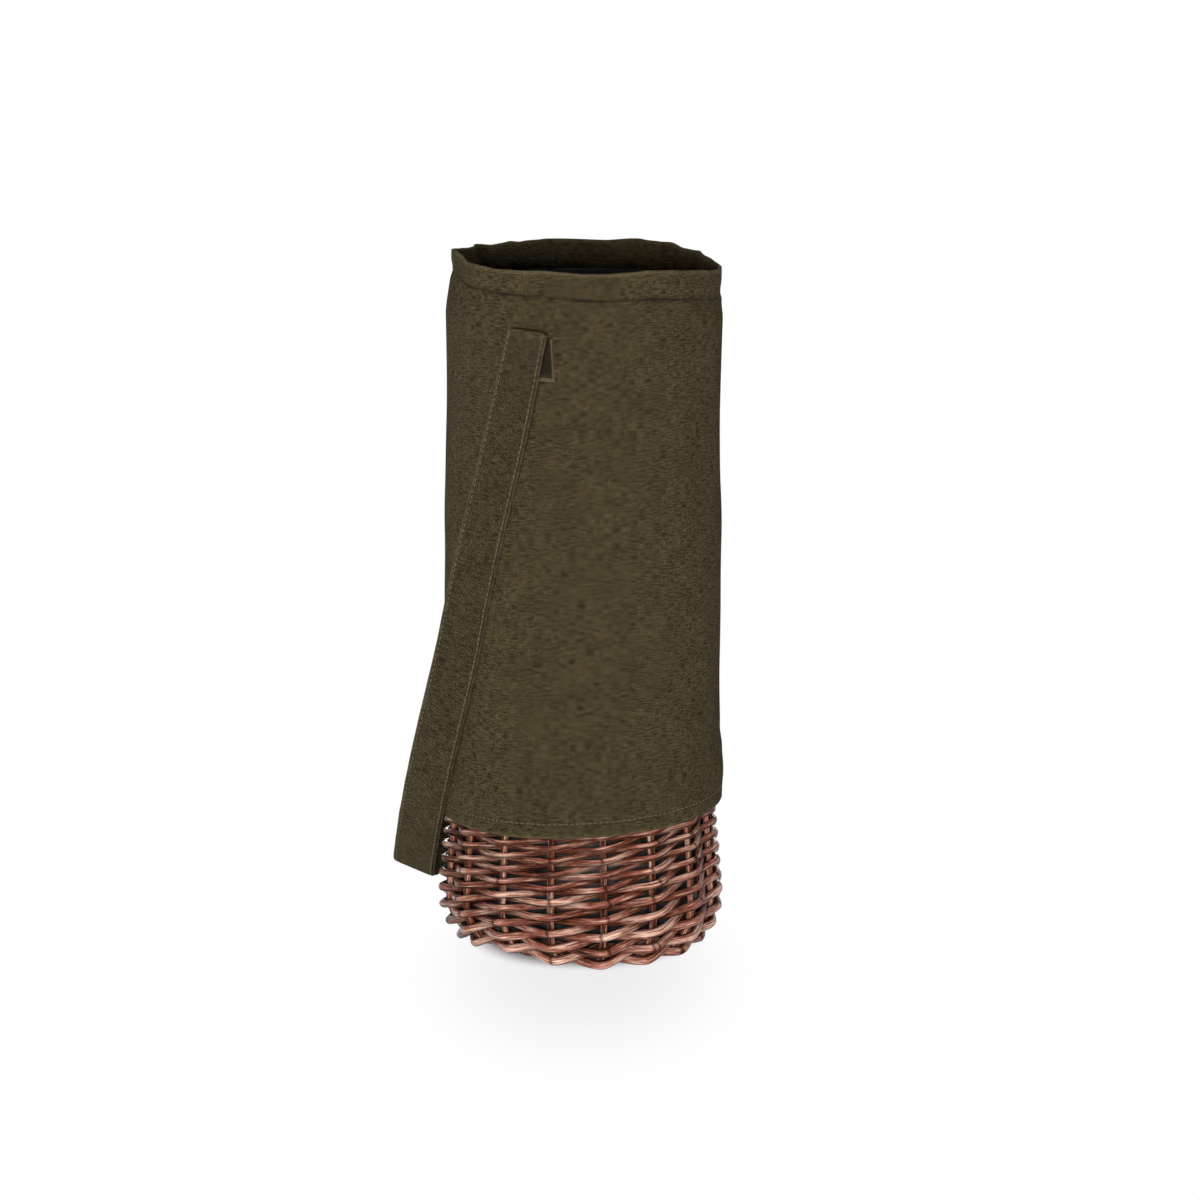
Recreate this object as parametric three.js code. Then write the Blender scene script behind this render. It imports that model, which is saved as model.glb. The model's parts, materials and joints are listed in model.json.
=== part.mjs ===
// Wine bottle basket: an insulated canvas sleeve sewn over a round willow basket, with a carry strap.
// Millimetres, +Z up. The origin is the centre of the base, on the surface that the basket stands on.
// The front strap tab faces -Y and the strap hangs at -X.
import * as THREE from "three";

// Clearances
const touch = 0.3; // between pieces that touch
const rodGap = 0.4; // between willow rods that lie side by side
const linerGap = 0.6; // between the liner and the canvas

// Willow stakes: rods that cross under the base, turn up the wall and end in the border
const stakeCount = 16;
const stakeDiameter = 3.1;
const stakeTipDiameter = 2.8;
const stakeSides = 6;
const stakePhase = THREE.MathUtils.degToRad(8.9); // first stake, measured from the front tab
const lowerSlath = 3; // rods of the lower layer at the crossing
const upperSlath = 5; // rods of the layer that lies on them
const slathReach = 10.5; // the crossing's half length, where the rods leave their layers
const slathEnd = 17; // radius where all rods lie at one height

// Willow wall
const wallRadius = 64.5; // of the stakes' centres, at its widest
const cornerRadius = 9; // of the turn from base to wall, at the stakes' centres
const wallLean = 3.6; // how far the stakes lean in at the top
const leanPower = 1.2;
const stakeTop = 97.5; // height of the stakes' centres where the border bends them over

// Weavers of the wall: one starts behind each stake, and each goes in front of one, behind the next
const buttDiameter = 3.85;
const tipDiameter = 2.1;
const weaverStakes = 26; // stakes that each weaver passes
const weaverFoot = 0.5; // where the weavers start, measured up the corner
const weaverSides = 5;
const passShare = 0.14; // half the width of a pass, as a share of the way from stake to stake
const crossShare = 0.5; // where a weaver crosses from one side of the stakes to the other
const endShare = 0.25; // a weaver's end past its last stake, as a share of the same way

// Border of turned-down stakes
const borderPasses = 2;
const borderEndShare = 0.45;
const borderBendShare = 0.16;
const borderBendHeight = 2;

// Weavers of the base: two, one chasing the other, over one stake and under the next
const baseWeaverDiameter = 2;
const baseWeaverGap = 0.65; // over and under the stakes
const baseWeaverStart = 23;
const baseWeaverStakes = 90; // stakes that each of them passes
const baseWeaverCount = 2;

// Canvas sleeve, outer faces
const canvasThickness = 1;
const hemBottom = 69.5;
const hemDepth = 7;
const hemSlack = 0.2; // between the folded hem and a weaver of middle thickness
const swellHeight = stakeTop; // where the canvas comes off the willow's border
const swellSlack = 1.9; // between the canvas and the border
const waistHeight = 124;
const waistRadius = 67.8;
const bodyHeight = 205;
const bodyRadius = 67.5;
const shoulderHeight = 290;
const shoulderRadius = 66.1;
const rimHeight = 340;
const rimRadius = 65.2;
const rimHemDepth = 13;
const rimRounding = 0.7;
const rimDrift = 2.2; // how far the rim leans to one side of the base
const driftDirection = THREE.MathUtils.degToRad(21.5);
const sleeveSegments = 48;

// Soft folds of the canvas: waves round the sleeve, each a share of the largest fold, with its
// count and turn
const foldHeight = 1.1;
const rimWaveShares = [
  { share: 1, count: 2, turn: 0.4 },
  { share: 0.55, count: 5, turn: 1.9 },
  { share: 0.4, count: 9, turn: 0.7 },
];
const bodyWaveShares = [
  { share: 0.32, count: 3, turn: 2.2 },
  { share: 0.23, count: 7, turn: 0.3 },
];
const rimDip = 0.9; // how far the rim's edge rises and falls
const dipCount = 3;

// Insulated liner
const linerRadius = 55.9; // outside, where it stands in the willow
const linerThickness = 3;
const linerFoot = 10.4; // height of its underside
const linerChamfer = 3;
const flareBottom = 101;
const flareTop = 114;

// Carry strap and its sewn ends
const strapWidth = 23;
const strapThickness = 2;
const pivotDrop = 29; // from the rim to the folds that the strap swings on
const tabHeight = 23; // below the fold
const tabThickness = 1;
const foldGap = 0.55; // between the strap and its sewn end
const strapTilt = THREE.MathUtils.degToRad(16.5); // of the band's width from level
const tabSegments = 6;

const strapReach = 88.3; // how far the loop hangs out to its side
const strapHang = 284.5; // from the folds down to the loop's lowest point

// The strap's route from the front fold to the middle of its loop, as shares: out of the way from
// the basket's middle to the fold, along of the reach, down of the hang
const strapRouteShares = [
  { out: 1, along: 0, down: 0 },
  { out: 1, along: 0.074, down: 0.105 },
  { out: 0.996, along: 0.142, down: 0.193 },
  { out: 0.99, along: 0.214, down: 0.278 },
  { out: 0.971, along: 0.294, down: 0.366 },
  { out: 0.946, along: 0.374, down: 0.457 },
  { out: 0.9, along: 0.453, down: 0.548 },
  { out: 0.834, along: 0.549, down: 0.643 },
  { out: 0.743, along: 0.664, down: 0.759 },
  { out: 0.571, along: 0.787, down: 0.865 },
  { out: 0.386, along: 0.895, down: 0.942 },
  { out: 0.186, along: 0.974, down: 0.988 },
  { out: 0, along: 1, down: 1 },
];
const strapSteps = 44;

// Finishes
const willow = { color: 0x65443a, roughness: 0.45, metalness: 0 };
const willowDark = { color: 0x57382f, roughness: 0.45, metalness: 0 };
const canvas = { color: 0x493f2e, roughness: 0.95, metalness: 0 };
const webbing = { color: 0x453e2d, roughness: 0.95, metalness: 0 };
const lining = { color: 0x2b3033, roughness: 0.9, metalness: 0 };

const basket = new THREE.Group();
const swinging = new THREE.Group();
basket.add(swinging);

function addMesh(name, geometry, finish, parent = basket) {
  const mesh = new THREE.Mesh(geometry, new THREE.MeshStandardMaterial(finish));
  mesh.name = name;
  parent.add(mesh);
}

const polar = (radius, angle, z) =>
  new THREE.Vector3(radius * Math.cos(angle), radius * Math.sin(angle), z);

// The direction of a stake by its number, which may lie between two stakes. Numbers run to the right.
const stakeStep = (2 * Math.PI) / stakeCount;
const stakeAngle = (number) => stakePhase - Math.PI / 2 + number * stakeStep;

// The volume under a closed surface, negative where its faces point in.
function signedVolume(positions, faces) {
  const corner = (i) => new THREE.Vector3().fromArray(positions, 3 * faces[i]);
  let volume = 0;
  for (let i = 0; i < faces.length; i += 3)
    volume += corner(i).dot(corner(i + 1).cross(corner(i + 2)));
  return volume / 6;
}

// A solid through rings of points, with flat ends, or joined end to end where it closes on itself.
function loft(rings, closes = false) {
  const sides = rings[0].length;
  const positions = rings.flat().flatMap((point) => point.toArray());
  const faces = [];
  const spans = closes ? rings.length : rings.length - 1;
  for (let i = 0; i < spans; i++) {
    const near = i * sides;
    const far = ((i + 1) % rings.length) * sides;
    for (let j = 0; j < sides; j++) {
      const next = (j + 1) % sides;
      faces.push(near + j, near + next, far + next);
      faces.push(near + j, far + next, far + j);
    }
  }
  if (!closes) {
    const last = (rings.length - 1) * sides;
    for (let j = 1; j < sides - 1; j++) {
      faces.push(0, j + 1, j);
      faces.push(last, last + j, last + j + 1);
    }
  }
  if (signedVolume(positions, faces) < 0) faces.reverse();
  const geometry = new THREE.BufferGeometry();
  geometry.setAttribute("position", new THREE.Float32BufferAttribute(positions, 3));
  geometry.setIndex(faces);
  geometry.computeVertexNormals();
  return geometry;
}

// The directions of a path at its points, each the mean of the stretches that meet there.
function tangentsOf(points) {
  const stretches = points.slice(1).map((point, i) => point.clone().sub(points[i]).normalize());
  return points.map((_, i) => {
    const before = stretches[Math.max(i - 1, 0)];
    const after = stretches[Math.min(i, stretches.length - 1)];
    return before.clone().add(after).normalize();
  });
}

// A willow rod through points, with a radius at each. Its first flat faces `facing` at one point,
// and is carried along from there both ways without twist.
function rod(points, radii, sides, facing, facingPoint = 0) {
  const tangents = tangentsOf(points);
  const normals = [];
  const carry = (i, from) =>
    (normals[i] = from.clone().addScaledVector(tangents[i], -from.dot(tangents[i])).normalize());
  carry(facingPoint, facing);
  for (let i = facingPoint + 1; i < points.length; i++) carry(i, normals[i - 1]);
  for (let i = facingPoint - 1; i >= 0; i--) carry(i, normals[i + 1]);
  const rings = points.map((point, i) => {
    const across = tangents[i].clone().cross(normals[i]);
    return Array.from({ length: sides }, (_, side) => {
      const turn = ((side + 0.5) * 2 * Math.PI) / sides;
      return point
        .clone()
        .addScaledVector(normals[i], radii[i] * Math.cos(turn))
        .addScaledVector(across, radii[i] * Math.sin(turn));
    });
  });
  return loft(rings);
}

// The stakes' surface

const flatShare = (sides) => Math.cos(Math.PI / sides); // a flat's distance, as a share of the radius
const baseWeaverOffset = (stakeDiameter + baseWeaverDiameter) / 2 + baseWeaverGap;
const baseWeaverFlat = (baseWeaverDiameter / 2) * flatShare(weaverSides);
const stakeHeight = baseWeaverOffset + baseWeaverFlat; // of the stakes' centres in the base
const cornerLength = (cornerRadius * Math.PI) / 2;
const wallFoot = stakeHeight + cornerRadius;

// A point on the surface of the stakes' centres, a length up from where the base ends.
function wallPoint(length) {
  if (length <= cornerLength) {
    const turn = length / cornerRadius;
    return {
      radius: wallRadius - cornerRadius * (1 - Math.sin(turn)),
      z: stakeHeight + cornerRadius * (1 - Math.cos(turn)),
      outward: Math.sin(turn),
      upward: -Math.cos(turn),
    };
  }
  const rise = length - cornerLength;
  const lean = wallLean * (rise / (stakeTop - wallFoot)) ** leanPower;
  return { radius: wallRadius - lean, z: wallFoot + rise, outward: 1, upward: 0 };
}

// The same point for a stake's number, moved off the surface by an offset, outwards where positive.
function wallPlace(number, length, offset) {
  const place = wallPoint(length);
  return polar(
    place.radius + offset * place.outward,
    stakeAngle(number),
    place.z + offset * place.upward,
  );
}

// Stakes

const borderOffset = stakeTipDiameter + touch;
const borderStep = stakeTipDiameter + rodGap;
const slathPitch = stakeDiameter + rodGap;
const lowerHeight = (stakeDiameter / 2) * flatShare(stakeSides);
const upperHeight = lowerHeight + stakeDiameter + touch;

// The border's turned-down end of a stake: it goes behind the next stake and in front of the one after.
function borderPoints(number) {
  const straight = stakeTop - wallFoot + cornerLength;
  const place = (steps, offset) =>
    wallPlace(number + steps, straight - borderStep * steps, offset);
  const points = [wallPlace(number, straight - borderBendHeight, 0)];
  points.push(place(borderBendShare, -borderOffset / 4));
  for (let pass = 1; pass <= borderPasses; pass++) {
    const side = pass % 2 ? -borderOffset : borderOffset;
    points.push(place(pass - passShare, side), place(pass + passShare, side));
  }
  points.push(place(borderPasses + borderEndShare, 0));
  return points;
}

// Half a stake rod, from the crossing out to its border end.
function stakeHalf(number, crossing, layerHeight) {
  const points = [];
  if (crossing.length() < slathReach) points.push(crossing.setZ(layerHeight));
  points.push(polar(slathReach, stakeAngle(number), layerHeight));
  points.push(polar(slathEnd, stakeAngle(number), stakeHeight));
  const cornerSteps = 4;
  for (let step = 0; step <= cornerSteps; step++)
    points.push(wallPlace(number, (cornerLength * step) / cornerSteps, 0));
  const wallSteps = 3;
  const straight = stakeTop - wallFoot - borderBendHeight;
  for (let step = 1; step < wallSteps; step++)
    points.push(wallPlace(number, cornerLength + (straight * step) / wallSteps, 0));
  return points.concat(borderPoints(number));
}

// A stake rod crosses the base and ends in two stakes. `place` counts it from the middle of its layer.
function addStakeRod(name, axisNumber, place, layerHeight) {
  const along = polar(1, stakeAngle(axisNumber), 0);
  const across = polar(1, stakeAngle(axisNumber) + Math.PI / 2, 0);
  const offset = place * slathPitch;
  const bend = place ? offset / Math.tan(place * stakeStep) : 0;
  const crossingAt = (side) =>
    across.clone().multiplyScalar(offset).addScaledVector(along, side * bend);
  const middle = across.clone().multiplyScalar(offset).setZ(layerHeight);
  const ahead = stakeHalf(axisNumber + place, crossingAt(1), layerHeight);
  const behind = stakeHalf(axisNumber + stakeCount / 2 - place, crossingAt(-1), layerHeight);
  if (!place) [ahead, behind].forEach((half) => half.shift());
  const points = [...behind.reverse(), middle, ...ahead];
  const half = ahead.length;
  const radii = points.map((_, i) => {
    const share = Math.abs(i - half) / half;
    return (stakeDiameter + (stakeTipDiameter - stakeDiameter) * share) / 2;
  });
  const down = new THREE.Vector3(0, 0, -1);
  addMesh(name, rod(points, radii, stakeSides, down, half), willow);
}

function addSlathLayer(rods, axisNumber, layerHeight, firstNumber) {
  for (let i = 0; i < rods; i++)
    addStakeRod(`stake_rod_${firstNumber + i}`, axisNumber, i - (rods - 1) / 2, layerHeight);
}

addSlathLayer(lowerSlath, 0, lowerHeight, 1);
addSlathLayer(upperSlath, stakeCount / 4, upperHeight, 1 + lowerSlath);

// Weavers of the wall

// A weaver's diameter after it has passed some stakes: thick at the butt, thin at the tip.
function weaverDiameter(passed) {
  const taper = THREE.MathUtils.smoothstep(passed, 0, weaverStakes);
  return buttDiameter + (tipDiameter - buttDiameter) * taper;
}

// How far a weaver has climbed by then: at each stake by its own thickness there and the gap.
function weaverClimb(passed) {
  const share = passed / weaverStakes;
  const thick = (buttDiameter - tipDiameter) * (share - share ** 3 + share ** 4 / 2);
  return weaverStakes * ((tipDiameter + rodGap) * share + thick);
}

function weaverPoint(start, passed, side) {
  const offset = side * ((weaverDiameter(passed) + stakeDiameter) / 2 + touch);
  return wallPlace(start + passed, weaverFoot + weaverClimb(passed), offset);
}

function addWeaver(name, start) {
  const stations = [];
  for (let stake = 0; stake <= weaverStakes; stake++) {
    const side = stake % 2 ? 1 : -1;
    const before = stake === 0 ? endShare : passShare;
    const after = stake === weaverStakes ? endShare : passShare;
    stations.push({ passed: stake - before, side }, { passed: stake + after, side });
    const turning = weaverFoot + weaverClimb(stake) < cornerLength;
    if (turning) stations.push({ passed: stake + crossShare, side: 0 });
  }
  const points = stations.map(({ passed, side }) => weaverPoint(start, passed, side));
  const radii = stations.map(({ passed }) => weaverDiameter(passed) / 2);
  addMesh(name, rod(points, radii, weaverSides, polar(1, stakeAngle(start), 0)), willow);
}

for (let i = 0; i < stakeCount; i++) addWeaver(`wall_weaver_${i + 1}`, i);

// Weavers of the base

function addBaseWeaver(name, order) {
  const pitch = baseWeaverDiameter + rodGap;
  const points = [];
  for (let stake = 0; stake <= baseWeaverStakes; stake++) {
    const radius =
      baseWeaverStart + pitch * (order + (baseWeaverCount * stake) / stakeCount);
    const side = (stake + order) % 2 ? -1 : 1;
    points.push(polar(radius, stakeAngle(stake), stakeHeight + side * baseWeaverOffset));
  }
  const radii = points.map(() => baseWeaverDiameter / 2);
  addMesh(name, rod(points, radii, weaverSides, new THREE.Vector3(0, 0, -1)), willowDark);
}

for (let i = 0; i < baseWeaverCount; i++) addBaseWeaver(`base_weaver_${i + 1}`, i);

// Canvas sleeve

// How far out the willow reaches under the hem and at the border
const hemStakes = wallPoint(hemBottom - wallFoot + cornerLength).radius;
const weaverReach = stakeDiameter / 2 + touch + (buttDiameter + tipDiameter) / 2;
const borderReach = wallRadius - wallLean + borderOffset + stakeTipDiameter / 2;
const hemRadius = hemStakes + weaverReach + 2 * canvasThickness + hemSlack;
const swellRadius = borderReach + touch + canvasThickness + swellSlack;

const sleeveOutline = [
  { z: hemBottom, radius: hemRadius },
  { z: swellHeight, radius: swellRadius },
  { z: waistHeight, radius: waistRadius },
  { z: bodyHeight, radius: bodyRadius },
  { z: shoulderHeight, radius: shoulderRadius },
  { z: rimHeight, radius: rimRadius },
];

function outlineRadius(z) {
  const next = sleeveOutline.findIndex((station) => station.z >= z);
  if (next <= 0) return sleeveOutline[next < 0 ? sleeveOutline.length - 1 : 0].radius;
  const low = sleeveOutline[next - 1];
  const high = sleeveOutline[next];
  return THREE.MathUtils.mapLinear(z, low.z, high.z, low.radius, high.radius);
}

// The height of the folds at an angle, where waves of several counts meet.
function wave(waveShares, angle) {
  const heights = waveShares.map(({ share, count, turn }) => share * Math.sin(count * angle + turn));
  return foldHeight * heights.reduce((sum, height) => sum + height);
}

// A point of the canvas, moved in from its outer face by a depth.
function canvasPoint(angle, z, depth) {
  const loose = THREE.MathUtils.smoothstep(z, swellHeight, rimHeight);
  const free = THREE.MathUtils.smoothstep(z, swellHeight, waistHeight);
  const fold = loose * wave(rimWaveShares, angle) + free * wave(bodyWaveShares, angle);
  const point = polar(outlineRadius(z) + fold - depth, angle, z);
  const drift = polar(rimDrift * loose, driftDirection, 0);
  const dip = rimDip * loose ** 4 * Math.sin(dipCount * angle);
  return point.add(drift).setZ(z + dip);
}

const rimHemBottom = rimHeight - rimHemDepth;
const between = (low, high) => (low + high) / 2;
const freeHeights = [
  waistHeight,
  between(waistHeight, bodyHeight),
  bodyHeight,
  between(bodyHeight, shoulderHeight),
  shoulderHeight,
];

function sleeveProfile(angle) {
  const fold = 2 * canvasThickness;
  const outer = [hemBottom, hemBottom + hemDepth, swellHeight, ...freeHeights];
  outer.push(rimHemBottom, rimHeight - rimRounding);
  const inner = [...outer].reverse();
  const points = outer.map((z) => canvasPoint(angle, z, 0));
  points.push(canvasPoint(angle, rimHeight, canvasThickness));
  inner.forEach((z) => {
    const folded = z > rimHemBottom || z < hemBottom + hemDepth;
    if (z === rimHemBottom || z === hemBottom) points.push(canvasPoint(angle, z, fold));
    if (z === rimHemBottom) points.push(canvasPoint(angle, z, canvasThickness));
    else if (z !== hemBottom) points.push(canvasPoint(angle, z, folded ? fold : canvasThickness));
    if (z === hemBottom + hemDepth) points.push(canvasPoint(angle, z, fold));
  });
  return points;
}

function around(segments, profile) {
  return Array.from({ length: segments }, (_, i) => profile((i * 2 * Math.PI) / segments));
}

addMesh("canvas_sleeve", loft(around(sleeveSegments, sleeveProfile), true), canvas);

// Insulated liner

function linerPoint(angle, z, depth) {
  const flared = THREE.MathUtils.smoothstep(z, flareBottom, flareTop);
  const straight = polar(linerRadius - depth, angle, z);
  const sleeve = canvasPoint(angle, z, canvasThickness + linerGap + depth);
  return straight.lerp(sleeve, flared);
}

function linerProfile(angle) {
  const top = rimHemBottom - linerGap;
  const heights = [linerFoot + linerChamfer, flareBottom, (flareBottom + flareTop) / 2, flareTop];
  const outer = [...heights, ...freeHeights, top];
  const points = [linerPoint(angle, linerFoot, linerChamfer)];
  outer.forEach((z) => points.push(linerPoint(angle, z, 0)));
  outer.reverse().forEach((z) => points.push(linerPoint(angle, z, linerThickness)));
  points.push(linerPoint(angle, linerFoot, linerThickness + touch));
  return points;
}

addMesh("liner_wall", loft(around(sleeveSegments, linerProfile), true), lining);

const floorRadius = linerRadius - linerThickness - 2 * touch;
const floor = new THREE.CylinderGeometry(floorRadius, floorRadius, linerThickness, sleeveSegments);
floor.rotateX(Math.PI / 2);
floor.translate(0, 0, linerFoot + linerThickness / 2);
addMesh("liner_floor", floor, lining);

// Strap tabs: the strap's sewn ends, flat on the canvas below each fold

const pivotHeight = rimHeight - pivotDrop;
const tabBottom = pivotHeight - tabHeight;
const tabFace = outlineRadius(tabBottom) + canvasThickness + touch;
const tabOut = tabFace + tabThickness;

// A section through a tab, at a place across it from -1 to 1.
function tabProfile(place, side) {
  const turn = (side * Math.PI) / 2 + (place * strapWidth) / 2 / tabFace;
  return [
    polar(tabFace, turn, tabBottom),
    polar(tabOut, turn, tabBottom),
    polar(tabOut, turn, pivotHeight),
    polar(tabFace, turn, pivotHeight),
  ];
}

function addTab(name, side) {
  const rings = [];
  for (let i = 0; i <= tabSegments; i++)
    rings.push(tabProfile((2 * i) / tabSegments - 1, side));
  addMesh(name, loft(rings), webbing);
}

addTab("strap_tab_front", -1);
addTab("strap_tab_rear", 1);

// Carry strap: one band from the front fold round its loop to the rear fold

// A point of the strap's middle line, towards the front where side is -1.
function strapPoint({ out, along, down }, side) {
  const foldOut = tabOut + foldGap + strapThickness / 2;
  return new THREE.Vector3(
    -along * strapReach,
    side * out * foldOut,
    pivotHeight - down * strapHang,
  );
}

function addStrap() {
  const front = strapRouteShares.map((place) => strapPoint(place, -1));
  const rear = strapRouteShares.map((place) => strapPoint(place, 1));
  const route = new THREE.CatmullRomCurve3([...front, ...rear.reverse().slice(1)]);
  const points = route.getSpacedPoints(strapSteps);
  const tangents = tangentsOf(points);
  const level = new THREE.Vector3(-Math.cos(strapTilt), 0, Math.sin(strapTilt));
  const rings = points.map((point, i) => {
    const tangent = tangents[i];
    const wide = level.clone().addScaledVector(tangent, -level.dot(tangent)).normalize();
    const thick = tangent.clone().cross(wide);
    const corner = (w, t) =>
      point
        .clone()
        .addScaledVector(wide, (w * strapWidth) / 2)
        .addScaledVector(thick, (t * strapThickness) / 2);
    return [corner(-1, -1), corner(1, -1), corner(1, 1), corner(-1, 1)];
  });
  addMesh("carry_strap", loft(rings), webbing, swinging);
}

addStrap();

export default basket;
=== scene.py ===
"""A wine bottle basket: a canvas sleeve on round willow work, with a liner and a carry strap.

Sizes are millimetres in the construction model's frame: +Z up, the origin on the floor under the
middle of the base, the front tab at -Y and the hanging strap at -X. Meshes are shaped in
millimetres and end in metres.
"""
import json
import logging
import math
from collections.abc import Callable
from dataclasses import dataclass, field
from enum import Enum
from random import Random

import bmesh
import bpy
from mathutils import Matrix, Vector, noise


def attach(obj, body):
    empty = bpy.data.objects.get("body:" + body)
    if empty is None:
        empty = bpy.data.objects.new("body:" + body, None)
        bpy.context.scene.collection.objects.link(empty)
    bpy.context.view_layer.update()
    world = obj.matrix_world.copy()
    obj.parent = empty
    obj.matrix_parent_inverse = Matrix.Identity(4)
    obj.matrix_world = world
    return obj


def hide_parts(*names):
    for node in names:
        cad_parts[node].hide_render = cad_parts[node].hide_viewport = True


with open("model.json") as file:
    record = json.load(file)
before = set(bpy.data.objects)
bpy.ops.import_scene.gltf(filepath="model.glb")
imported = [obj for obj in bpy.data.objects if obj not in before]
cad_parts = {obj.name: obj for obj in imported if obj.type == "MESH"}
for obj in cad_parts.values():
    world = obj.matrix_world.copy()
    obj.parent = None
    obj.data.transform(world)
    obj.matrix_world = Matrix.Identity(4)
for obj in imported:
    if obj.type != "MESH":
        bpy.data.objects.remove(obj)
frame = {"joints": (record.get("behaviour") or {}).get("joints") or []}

log = logging.getLogger("wine_bottle_basket")

MM = 0.001  # a millimetre in the scene's metres
FULL_TURN = 2 * math.pi
CLOTH_MAP = "cloth"  # UV map of a cloth's own flat coordinates, in metres
ROD_PLACE = "rod_place"  # attribute of a rod's own straight coordinates, in metres
PAINTED_SHADE_AND_CRACKS = "painted_shade_and_cracks"  # attribute of painted shade, 1 where a rod lies behind or between others, with dark bend cracks
WEAR_AND_HIGHLIGHT = "wear_and_highlight"  # attribute, 1 on folded edges: rubbed wear, and on the strap's edges and folds also painted highlight
PAINTED_CLOTH_SHADE = "seam"  # attribute of painted shade: along the hems' stitch grooves, in the strap's edge groove and on the tabs under the strap's folds
NO_LENGTH = 1e-9  # stands for a length of 0 where one is divided by
BEND_CUTS = (1, 3, 8)  # how many times nearer to a bend each of its cuts starts
LARGEST_CUT = 0.25  # of a stretch
FOLD_FADE = (-0.2, 0.3, 0.7, 1.2)  # shares of its line where a fold starts, is full, fades, ends


class Side(Enum):
    """The two sides of the stakes that a rod can pass."""

    INSIDE = -1
    MIDDLE = 0
    OUTSIDE = 1


class Leg(Enum):
    """The two sides of the basket where the strap is sewn, by the sign of Y."""

    FRONT = -1
    REAR = 1


# Small tools


def smoothstep(value: float, low: float, high: float) -> float:
    """Rises smoothly from 0 at low to 1 at high.

    Args:
        value: Where to read the step.
        low: The last value that gives 0.
        high: The first value that gives 1.

    Returns:
        A share from 0 to 1.
    """
    share = min(max((value - low) / (high - low), 0.0), 1.0)
    return share * share * (3 - 2 * share)


def bump(distance: float, width: float) -> float:
    """A bell of height 1 that has fallen to a third at its width."""
    return math.exp(-((distance / width) ** 2))


def polar(radius: float, turn: float, height: float) -> Vector:
    """A point from its radius, its angle from +X in radians and its height."""
    return Vector((radius * math.cos(turn), radius * math.sin(turn), height))


def turn_between(turn: float, other: float) -> float:
    """The smallest signed angle from one direction to another, in radians."""
    return (turn - other + math.pi) % FULL_TURN - math.pi


def spread(start: float, end: float, steps: int) -> list[float]:
    """Evenly spaced values from start to end, both included."""
    return [start + (end - start) * step / steps for step in range(steps + 1)]


def unevenness(turn: float, patches: float, place: float) -> float:
    """Soft noise that runs round the basket and joins up.

    Args:
        turn: The direction in radians.
        patches: The radius of the circle that it is read on, so more patches where larger.
        place: How far along the circle's axis it is read.

    Returns:
        A value between -1 and 1.
    """
    return noise.noise(Vector((patches * math.cos(turn), patches * math.sin(turn), place)))


def between_knots(
    before: Vector, start: Vector, end: Vector, after: Vector, share: float
) -> Vector:
    """A point of the smooth curve through four knots, between the middle two.

    Args:
        before: The knot before the stretch.
        start: The stretch's first knot.
        end: Its last knot.
        after: The knot after it.
        share: How far along the stretch, from 0 to 1.

    Returns:
        The point.
    """
    rise = (end - before) / 2
    fall = (after - start) / 2
    square, cube = share**2, share**3
    return (
        start * (2 * cube - 3 * square + 1)
        + rise * (cube - 2 * square + share)
        + end * (3 * square - 2 * cube)
        + fall * (cube - square)
    )


# Nodes, colours and finishes


def linear(hex_colour: str) -> tuple[float, float, float, float]:
    """Turns an sRGB hex colour to the linear colour that shaders take.

    Args:
        hex_colour: Six hex digits, with or without a leading #.

    Returns:
        Red, green, blue and an alpha of 1.
    """
    digits = hex_colour.lstrip("#")
    parts = [int(digits[i : i + 2], 16) / 255 for i in (0, 2, 4)]
    red, green, blue = (
        part / 12.92 if part <= 0.04045 else ((part + 0.055) / 1.055) ** 2.4 for part in parts
    )
    return red, green, blue, 1.0


def add_node(
    tree: bpy.types.NodeTree,
    kind: str,
    values: dict | None = None,
    links: dict | None = None,
    stops: tuple[tuple[float, str], ...] = (),
    **settings: object,
) -> bpy.types.Node:
    """Adds a shader node with its settings, constants and links.

    Args:
        tree: The node tree of a material or world.
        kind: The node's type, without the ShaderNode that all of them start with.
        values: Constants by the input's name or number.
        links: Sockets that feed an input, by the input's name or number.
        stops: For a colour ramp, places from 0 to 1 with their hex colours, in order.
        **settings: The node's own properties.

    Returns:
        The new node.
    """
    node = tree.nodes.new("ShaderNode" + kind)
    for name, value in settings.items():
        setattr(node, name, value)
    for key, value in (values or {}).items():
        node.inputs[key].default_value = value
    for key, socket in (links or {}).items():
        tree.links.new(socket, node.inputs[key])
    for number, (place, colour) in enumerate(stops):
        marks = node.color_ramp.elements
        mark = marks[number] if number < len(marks) else marks.new(place)
        mark.position, mark.color = place, linear(colour)
    return node


def start_material(name: str) -> tuple[bpy.types.Material, bpy.types.NodeTree, bpy.types.Node]:
    """Makes an empty material.

    Args:
        name: What the material is.

    Returns:
        The material, its node tree and its Principled shader, which is linked to the output.
    """
    material = bpy.data.materials.new(name)
    material.use_nodes = True
    tree = material.node_tree
    tree.nodes.clear()
    shader = add_node(tree, "BsdfPrincipled")
    add_node(tree, "OutputMaterial", links={"Surface": shader.outputs["BSDF"]})
    return material, tree, shader


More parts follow.
